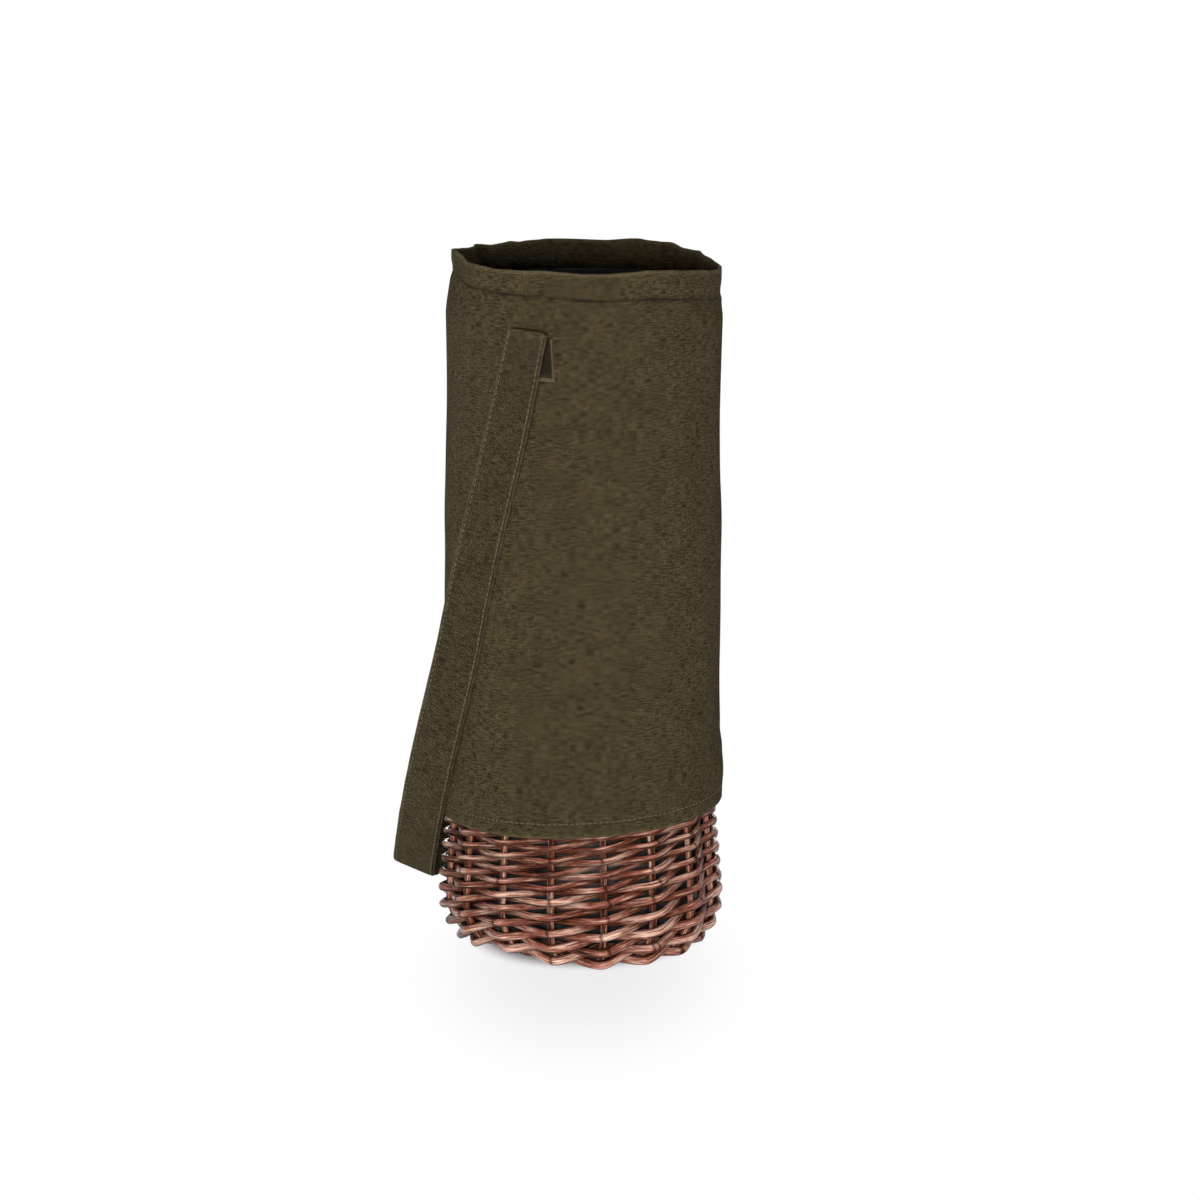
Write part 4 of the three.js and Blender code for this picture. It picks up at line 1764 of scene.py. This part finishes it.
@dataclass
class Strap:
    """The carry strap: a folded, top-stitched band whose two ends are sewn to the sleeve."""

    form: SleeveForm
    pivot_height: float
    width: float = 22.4
    thickness: float = 2.0
    fold_radius: float = 1.2
    fold_steps: int = 10
    fold_start: int = 4
    reach: float = 88.3
    hang: float = 284.5
    out: float = 70.0
    tab_height: float = 21.8
    tab_thickness: float = 1.2
    tab_lip: float = 0.1
    tab_lip_start: float = 0.72
    tab_turn: float = 2.0
    tab_short: float = 1.2
    tab_gap: float = 0.2
    tab_aside: float = 0.8
    tab_lean: float = 1.3
    tab_columns: int = 20
    tab_rows: int = 22
    # pale of the tab's sides, rubbed wear and painted highlight, and of its bottom edge, rubbed
    # wear
    tab_wear_and_highlight: tuple[float, float] = (0.028, 0.04)
    # rows where the fold's painted shadow fades in on the tab
    tab_shade: tuple[float, float] = (0.03, 0.2)
    tab_seam: tuple[float, float] = (-10.8, 8.8)
    tab_seam_row: float = 0.06
    tab_stitches: int = 8
    thread_proud: float = 0.1
    tilt: float = math.radians(16.5)
    yaw: float = math.radians(8.5)
    fold_yaw: float = math.radians(12)
    low_yaw: float = math.radians(-4)
    yaw_settles: float = 50.0
    tilt_settles: float = 60.0
    low_yaw_span: tuple[float, float] = (60.0, 180.0)
    facing_share: float = 0.8
    slide_reach: float = 24.0
    fold_inset: float = 0.6
    inset_reach: float = 0.08
    fold_aside: float = 0.2
    bulge: float = 2.2
    bulge_at: float = 0.68
    bulge_reach: float = 0.2
    fold_slant: float = math.radians(3)
    stitch_inset: float = 1.7
    stitch_step: float = 2.9
    edge_step: float = 1.1
    flatness: tuple[float, float] = (0.55, 0.28)
    seam_dent: float = 0.3
    dent_width: float = 0.8
    # pale of the band's edges and folds: rubbed wear and painted highlight
    edge_wear_and_highlight: float = 0.9
    fold_wear_and_highlight: float = 0.55
    drawn_in: float = 0.05
    drawn_reach: float = 30.0
    thread_rise: float = 0.78
    thread_gap: float = 0.06
    knot_steps: int = 16
    loop_step: float = 2.2
    sides: int = 48
    route: tuple[tuple[float, float, float], ...] = (
        (1, 0, 0), (1, 0.074, 0.105), (0.996, 0.142, 0.193), (0.99, 0.214, 0.278),
        (0.971, 0.294, 0.366), (0.946, 0.374, 0.457), (0.925, 0.453, 0.548), (0.89, 0.549, 0.643),
        (0.81, 0.664, 0.759), (0.61, 0.787, 0.865), (0.386, 0.895, 0.942), (0.186, 0.974, 0.988),
        (0, 1, 1),
    )

    def build(self, finishes: Finishes) -> None:
        """Builds the band, its stitching and its two sewn ends.

        Args:
            finishes: The materials.
        """
        middle = self._middle_line()
        frames = self._frames(middle)
        band = self._band(frames)
        strap = finished_piece(
            "sewn_carry_strap", band, finishes.strap, "strap", ("carry_strap",)
        )
        threads = self._band_stitches(frames, finishes)
        for leg in Leg:
            self._tab(leg, finishes)

    def _middle_line(self) -> list[Vector]:
        """The band's middle line from the front tab over its fold, round the loop and back.

        Returns:
            Points about 2 mm apart, and closer in the folds.
        """
        front = [self._route_point(place, Leg.FRONT) for place in self.route]
        rear = [self._route_point(place, Leg.REAR) for place in self.route[:-1]]
        knots = front + rear[::-1]
        points = []
        for i in range(len(knots) - 1):
            before, after = knots[max(i - 1, 0)], knots[min(i + 2, len(knots) - 1)]
            for step in range(self.knot_steps):
                share = step / self.knot_steps
                points.append(between_knots(before, knots[i], knots[i + 1], after, share))
        points.append(knots[-1])
        stations = [Station(point, 1.0) for point in points]
        loop = [station.place for station in evenly_spaced(stations, self.loop_step)]
        front, rear = self._fold(loop[0], Leg.FRONT), self._fold(loop[-1], Leg.REAR)
        return front + loop + rear[::-1]

    def _fold(self, end: Vector, leg: Leg) -> list[Vector]:
        """The way over a slanting fold, from the tab out to where the loop starts.

        Args:
            end: The loop's first point on that side.
            leg: Which side of the basket it is on.

        Returns:
            The fold's points, without that end.
        """
        side, slant = float(leg.value), self.fold_slant
        level = Vector((-math.cos(self.fold_yaw), -side * math.sin(self.fold_yaw), 0.0))
        outward = Vector((level.y, -level.x, 0.0)) * side
        crease = level * math.cos(slant) + Vector((0.0, 0.0, math.sin(slant)))
        rising = Vector((0.0, 0.0, math.cos(slant))) - level * math.sin(slant)
        radius, advance = self.fold_radius, self.fold_radius * math.tan(slant)
        middle = end - outward * radius - crease * advance * math.pi
        points = []
        for step in range(self.fold_start, self.fold_steps):
            turn = math.pi * step / self.fold_steps
            over = rising * math.sin(turn) - outward * math.cos(turn)
            points.append(middle + over * radius + crease * advance * turn)
        return points

    def _route_point(self, place: tuple[float, float, float], leg: Leg) -> Vector:
        """A point of the loop's route.

        Args:
            place: Its shares of the way out, of the reach and of the hang.
            leg: Which side of the basket it is on.

        Returns:
            The point.
        """
        out, along, down = place
        height = self.pivot_height - down * self.hang
        inset = self.fold_inset * bump(down, self.inset_reach)
        aside = self.fold_aside * bump(down, self.bulge_reach)
        aside += self.bulge * bump(down - self.bulge_at, self.bulge_reach)
        return Vector((aside - along * self.reach, leg.value * (out * self.out - inset), height))

    def _frames(self, points: list[Vector]) -> list[Matrix]:
        """Frames along the band: across its width, through its thickness and along it.

        Near the folds the width slants, so that it lies along the fold's crease.

        Args:
            points: The middle line.

        Returns:
            A matrix for each point.
        """
        last = len(points) - 1
        frames = []
        for i, point in enumerate(points):
            along = (points[min(i + 1, last)] - points[max(i - 1, 0)]).normalized()
            below = max(0.0, self.pivot_height - point.z)
            settled = smoothstep(below, 0, self.yaw_settles)
            yaw = self.fold_yaw + (self.yaw - self.fold_yaw) * settled
            yaw += (self.low_yaw - self.yaw) * smoothstep(below, *self.low_yaw_span)
            yaw *= -min(max(point.y / (self.facing_share * self.out), -1.0), 1.0)
            settled = smoothstep(below, 0, self.tilt_settles)
            slant = self.fold_slant + (self.tilt - self.fold_slant) * settled
            flat = math.cos(slant)
            level = Vector((-flat * math.cos(yaw), flat * math.sin(yaw), math.sin(slant)))
            across = (level - along * level.dot(along)).normalized()
            through = along.cross(across)
            slide = level.dot(along) / level.dot(across) * bump(below, self.slide_reach)
            axes = Matrix((across + along * slide, through, along)).transposed()
            frames.append(Matrix.Translation(point) @ axes.to_4x4())
        return frames

    def _section(self, side: int) -> tuple[float, float, float]:
        """The folded band's section: thin at the stitches, full between, open at one edge.

        Args:
            side: The point's number round the section.

        Returns:
            How far across and through the band the point lies, and how rubbed it is, with a
            painted highlight on its rounded edges.
        """
        turn = FULL_TURN * side / self.sides
        cosine, sine = math.cos(turn), math.sin(turn)
        wide, thick = self.flatness
        across = math.copysign(abs(cosine) ** wide, cosine) * self.width / 2
        from_edge = self.width / 2 - abs(across)
        dent = self.seam_dent * bump(from_edge - self.stitch_inset, self.dent_width)
        full = self.thickness / 2 * (1 - dent)
        through = full * math.copysign(abs(sine) ** thick, sine)
        # pale of the band's rounded edges: rubbed wear and painted highlight
        wear_and_highlight = bump(from_edge, self.edge_wear_and_highlight)
        if side == self.sides // 2:
            return across + 2 * self.edge_step, -0.3, 0.0
        if across < 0 and sine < 0:
            across += self.edge_step * bump(from_edge, 1.6)
        elif across < 0:
            across -= 0.2 * bump(from_edge, 1.2)
            through -= 0.35 * bump(from_edge, 0.15)
        return across, through, wear_and_highlight

    def _band(self, frames: list[Matrix]) -> bmesh.types.BMesh:
        """The band as one sewn body.

        Args:
            frames: Where its sections lie.

        Returns:
            The band, with its cloth's coordinates.
        """
        shape = bmesh.new()
        wear_and_highlight = shape.verts.layers.float.new(WEAR_AND_HIGHLIGHT)
        seam = shape.verts.layers.float.new(PAINTED_CLOTH_SHADE)
        flat = shape.loops.layers.uv.new(CLOTH_MAP)
        points = [self._section(side) for side in range(self.sides)]
        lengths = [0.0]
        for near, far in zip(frames, frames[1:]):
            lengths.append(lengths[-1] + (far.translation - near.translation).length)
        steps = {}

        def section(step: int, side: int) -> tuple[float, float]:
            """A point of the section, with the band's own small waves.

            Args:
                step: The frame's number.
                side: The point's number round the section.

            Returns:
                The point in the frame.
            """
            across, through, _ = points[side]
            from_end = min(lengths[step], lengths[-1] - lengths[step])
            across *= 1 - self.drawn_in * bump(from_end, self.drawn_reach)
            wave = 0.16 * noise.noise(Vector((across / 6, lengths[step] / 9, 1.0)))
            edge = 0.2 * noise.noise(Vector((2.0, lengths[step] / 16, 4.0)))
            return across + edge, through + wave

        for step, ring in enumerate(sweep(shape, frames, section, self.sides)):
            from_end = min(lengths[step], lengths[-1] - lengths[step])
            # pale along the top of the folds: rubbed wear and painted highlight
            on_fold = self.fold_wear_and_highlight * bump(from_end - 0.8, 2.4)
            for side, corner in enumerate(ring):
                uneven = 0.7 + 0.6 * noise.noise(Vector((side, lengths[step] / 5, 7.0)))
                corner[wear_and_highlight] = min(1.0, max(points[side][2], on_fold) * uneven)
                # painted shade in the groove of the band's open edge
                corner[seam] = bump(side - self.sides / 2 - 0.3, 0.9)
                steps[corner] = (points[side][0] * MM, lengths[step] * MM)
        for face in shape.faces:
            for loop in face.loops:
                loop[flat].uv = steps[loop.vert]
        return shape

    def _band_stitches(self, frames: list[Matrix], finishes: Finishes) -> bpy.types.Object:
        """The top-stitching along both edges, on both faces of the band.

        Args:
            frames: The band's frames.
            finishes: The materials.

        Returns:
            The stitches, as one piece.
        """
        line = StitchLine(share=0.62, radius=0.22)
        stations = [Station(matrix.translation, 1.0) for matrix in frames]
        spots = evenly_spaced(stations, self.stitch_step)
        along = self._frames([spot.place for spot in spots])
        across = self.width / 2 - self.stitch_inset
        lift = self.thickness / 2 * self.thread_rise + self.thread_gap
        for near, far in zip(along, along[1:]):
            for edge in (-across, across):
                for face in (-lift, lift):
                    spot = Vector((edge, face, 0.0))
                    outward = near.to_3x3() @ Vector((0.0, math.copysign(1.0, face), 0.0))
                    line.add(near @ spot, far @ spot, outward)
        return finished_piece(
            "strap_stitches", line.finished(), finishes.pale_thread, "strap"
        )

    def _tab(self, leg: Leg, finishes: Finishes) -> None:
        """A sewn end of the strap, flat on the canvas, whose top turns out to meet the band.

        Args:
            leg: Which side of the basket it is on.
            finishes: The materials.
        """
        node = "strap_tab_front" if leg is Leg.FRONT else "strap_tab_rear"
        name = node.replace("strap", "sewn")
        length = self.tab_height + self.tab_turn
        lengths = spread(0.0, length, self.tab_rows)
        shape = cut_cloth(self.tab_columns, lengths, self.width)
        side_wear_and_highlight, rubbed_foot = self.tab_wear_and_highlight
        wear_and_highlight = shape.verts.layers.float.new(WEAR_AND_HIGHLIGHT)
        seam = shape.verts.layers.float.new(PAINTED_CLOTH_SHADE)
        for corner in shape.verts:
            across, row = corner.co.x - 0.5, corner.co.y / self.tab_rows
            # pale sides of the tab: rubbed wear and painted highlight; the pale bottom edge is
            # rubbed wear
            at_side = bump(0.5 - abs(across), side_wear_and_highlight)
            corner[wear_and_highlight] = max(at_side, 1.4 * bump(row, rubbed_foot))
            # painted shadow of the strap's fold on the tab, kept off the pale edges
            corner[seam] = 0.8 * smoothstep(row, *self.tab_shade) * (1 - corner[wear_and_highlight])
            aside = across * self.width - self.tab_aside - self.tab_lean * row
            corner.co = self._tab_point(leg, aside, row)
        bmesh.ops.recalc_face_normals(shape, faces=shape.faces)
        tab = finished_piece(name, shape, finishes.strap, "basket", (node,))
        thick = tab.modifiers.new("cloth_thickness", "SOLIDIFY")
        thick.thickness = self.tab_thickness * MM
        thick.offset = 0.0
        line = StitchLine(share=0.8, radius=0.24)
        places = [
            self._tab_point(leg, aside, self.tab_seam_row)
            for aside in spread(*self.tab_seam, self.tab_stitches)
        ]
        outward = Vector((0.0, leg.value, 0.0))
        lift = outward * (self.tab_thickness / 2 + self.thread_proud)
        for near, far in zip(places, places[1:]):
            line.add(near + lift, far + lift, outward)
        stitches = finished_piece(
            name + "_stitches", line.finished(), finishes.pale_thread, "basket"
        )

    def _tab_point(self, leg: Leg, across: float, row: float) -> Vector:
        """A point of a sewn end.

        Args:
            leg: Which side of the basket it is on.
            across: How far towards +X it lies from the middle.
            row: Its share of the way from the bottom edge to the fold.

        Returns:
            The point.
        """
        bottom = self.pivot_height - self.tab_height
        lean = -math.tan(self.fold_slant) * across * row
        height = bottom + (self.tab_height - self.tab_short) * row + lean
        turn = leg.value * math.pi / 2 - leg.value * across / self.form.radius(height)
        on_canvas = self.form.point(turn, height, -self.tab_gap - self.tab_thickness / 2)
        turned = smoothstep(row, self.tab_lip_start, 1.0)
        on_canvas.y += leg.value * self.tab_lip * turned**2
        return on_canvas


# Studio


@dataclass(frozen=True)
class SoftBox:
    """A soft box that faces the basket.

    Attributes:
        name: The lamp's name.
        place: How far right, near the viewer and up it stands.
        size: Its width and height.
        power: Its power in watts.
    """

    name: str
    place: tuple[float, float, float]
    size: tuple[float, float]
    power: float


@dataclass
class Studio:
    """The camera at the photograph's angle, a pale floor and soft lights."""

    azimuth: float = math.radians(21.5)
    distance: float = 1803.0
    height: float = 565.0
    pitch: float = math.radians(12.33)
    side_step: float = 8.8
    focal_pixels: float = 3768.0
    image_width: float = 1200.0
    sensor: float = 36.0
    clip_end: float = 200.0  # in metres, as is the next
    aim_height: float = 0.15
    lamps: tuple[SoftBox, ...] = (
        SoftBox("key_light", (-150.0, 1490.0, 300.0), (380.0, 420.0), 20.6),
        SoftBox("fill_light", (950.0, 1160.0, 280.0), (620.0, 320.0), 2.6),
        SoftBox("back_light", (60.0, -1500.0, 360.0), (560.0, 420.0), 15.0),
    )
    floor_size: float = 60.0  # in metres, as are the shadow's and its core's spans
    shadow_shift: float = 50.0
    shadow_scale: tuple[float, float, float] = (0.5, 1.0, 1.0)
    shadow_span: tuple[float, float] = (0.03, 0.19)
    shadow_glow: float = 0.8
    core_span: tuple[float, float] = (0.042, 0.06)
    world_span: tuple[float, float] = (0.0, 0.6)
    world_strength: tuple[float, float] = (0.095, 0.06)

    def build(self) -> None:
        """Builds the camera, the floor, the lights and the world."""
        self._camera()
        self._floor()
        for box in self.lamps:
            self._lamp(box)
        self._world()

    def _place(self, right: float, near: float, up: float) -> Vector:
        """A point of the studio.

        Args:
            right: How far to the viewer's right it is, in millimetres.
            near: How far towards the viewer.
            up: How far up.

        Returns:
            The point in metres.
        """
        rightward = Vector((math.cos(self.azimuth), math.sin(self.azimuth), 0.0))
        viewer = Vector((math.sin(self.azimuth), -math.cos(self.azimuth), 0.0))
        return (rightward * right + viewer * near + Vector((0.0, 0.0, up))) * MM

    def _camera(self) -> None:
        """Adds the camera, with the lens that the photograph's perspective has."""
        data = bpy.data.cameras.new("camera")
        data.sensor_width = self.sensor
        data.lens = self.sensor * self.focal_pixels / self.image_width
        data.clip_end = self.clip_end
        camera = bpy.data.objects.new("camera", data)
        camera.location = self._place(self.side_step, self.distance, self.height)
        camera.rotation_euler = (math.pi / 2 - self.pitch, 0.0, self.azimuth)
        bpy.context.scene.collection.objects.link(camera)
        bpy.context.scene.camera = camera

    def _lamp(self, box: SoftBox) -> None:
        """Adds a lamp.

        Args:
            box: Where it stands, its size and its power.
        """
        data = bpy.data.lights.new(box.name, "AREA")
        data.shape = "RECTANGLE"
        data.size, data.size_y = box.size[0] * MM, box.size[1] * MM
        data.energy = box.power
        lamp = bpy.data.objects.new(box.name, data)
        lamp.location = self._place(*box.place)
        middle = Vector((0.0, 0.0, self.aim_height))
        lamp.rotation_euler = (middle - lamp.location).to_track_quat("-Z", "Y").to_euler()
        bpy.context.scene.collection.objects.link(lamp)

    def _floor(self) -> None:
        """Adds a white floor that keeps the basket's shadow and is plain white further off."""
        shape = bmesh.new()
        bmesh.ops.create_grid(shape, x_segments=1, y_segments=1, size=self.floor_size / 2)
        mesh = bpy.data.meshes.new("floor")
        shape.to_mesh(mesh)
        shape.free()
        floor = bpy.data.objects.new("floor", mesh)
        bpy.context.scene.collection.objects.link(floor)
        material, tree, shader = start_material("white_floor")
        mesh.materials.append(material)
        shader.inputs["Base Color"].default_value = linear("f2f2f2")
        shader.inputs["Roughness"].default_value = 0.9
        glow = add_node(tree, "Emission", {"Color": linear("ffffff"), "Strength": 1.0})
        place = add_node(tree, "TexCoord").outputs["Object"]
        spread_out = add_node(
            tree, "Mapping",
            {"Location": self._place(0.0, self.shadow_shift, 0.0),
             "Rotation": (0.0, 0.0, self.azimuth), "Scale": self.shadow_scale},
            {"Vector": place}, vector_type="TEXTURE",
        )
        away = add_node(
            tree, "VectorMath", links={0: spread_out.outputs["Vector"]}, operation="LENGTH"
        )
        soft = add_node(
            tree, "MapRange",
            {"From Min": self.shadow_span[0], "From Max": self.shadow_span[1],
             "To Min": self.shadow_glow, "To Max": 1.0},
            {"Value": away.outputs["Value"]}, interpolation_type="SMOOTHSTEP",
        ).outputs["Result"]
        middle = add_node(tree, "VectorMath", links={0: place}, operation="LENGTH")
        beside = add_node(
            tree, "MapRange",
            {"From Min": self.core_span[0], "From Max": self.core_span[1]},
            {"Value": middle.outputs["Value"]}, interpolation_type="SMOOTHSTEP",
        ).outputs["Result"]
        far = add_node(tree, "Math", links={0: soft, 1: beside}, operation="MULTIPLY").outputs[0]
        plain = self._seen(tree)
        share = add_node(tree, "Math", links={0: far, 1: plain}, operation="MULTIPLY").outputs[0]
        mixed = add_node(
            tree, "MixShader",
            links={0: share, 1: shader.outputs["BSDF"], 2: glow.outputs["Emission"]},
        )
        output = next(node for node in tree.nodes if node.type == "OUTPUT_MATERIAL")
        tree.links.new(mixed.outputs["Shader"], output.inputs["Surface"])

    def _seen(self, tree: bpy.types.NodeTree) -> bpy.types.NodeSocket:
        """1 for rays that show a background: from the camera, a reflection or through glass.

        Args:
            tree: The node tree.

        Returns:
            The largest of the three kinds' shares.
        """
        path = add_node(tree, "LightPath")
        first = add_node(
            tree, "Math",
            links={0: path.outputs["Is Camera Ray"], 1: path.outputs["Is Glossy Ray"]},
            operation="MAXIMUM",
        ).outputs[0]
        return add_node(
            tree, "Math", links={0: first, 1: path.outputs["Is Transmission Ray"]},
            operation="MAXIMUM",
        ).outputs[0]

    def _world(self) -> None:
        """Sets a soft white world, which shows as plain white."""
        world = bpy.data.worlds.new("studio_world")
        bpy.context.scene.world = world
        world.use_nodes = True
        tree = world.node_tree
        tree.nodes.clear()
        direction = add_node(tree, "TexCoord").outputs["Generated"]
        parts = add_node(tree, "SeparateXYZ", links={"Vector": direction})
        level = add_node(
            tree, "MapRange",
            {"From Min": self.world_span[0], "From Max": self.world_span[1],
             "To Min": self.world_strength[0], "To Max": self.world_strength[1]},
            {"Value": parts.outputs["Z"]},
        ).outputs["Result"]
        soft = add_node(tree, "Background", {"Color": linear("ffffff")}, {"Strength": level})
        plain = add_node(tree, "Background", {"Color": linear("ffffff"), "Strength": 1.0})
        mixed = add_node(
            tree, "MixShader",
            links={0: self._seen(tree), 1: soft.outputs[0], 2: plain.outputs[0]},
        )
        add_node(tree, "OutputWorld", links={"Surface": mixed.outputs["Shader"]})


def main() -> None:
    """Builds the studio and the basket around the construction model."""
    logging.basicConfig(level=logging.INFO, format="%(name)s: %(message)s")
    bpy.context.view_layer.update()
    bpy.context.scene.view_settings.view_transform = "Standard"
    Studio().build()
    finishes = Finishes.made()
    form = SleeveForm()
    pivot = frame["joints"][0]["pos_m"][2] / MM
    WillowWork().build(finishes)
    Sleeve(form).build(finishes)
    Liner(form).build(finishes)
    Strap(form, pivot_height=pivot).build(finishes)


if __name__ == "__main__":
    main()
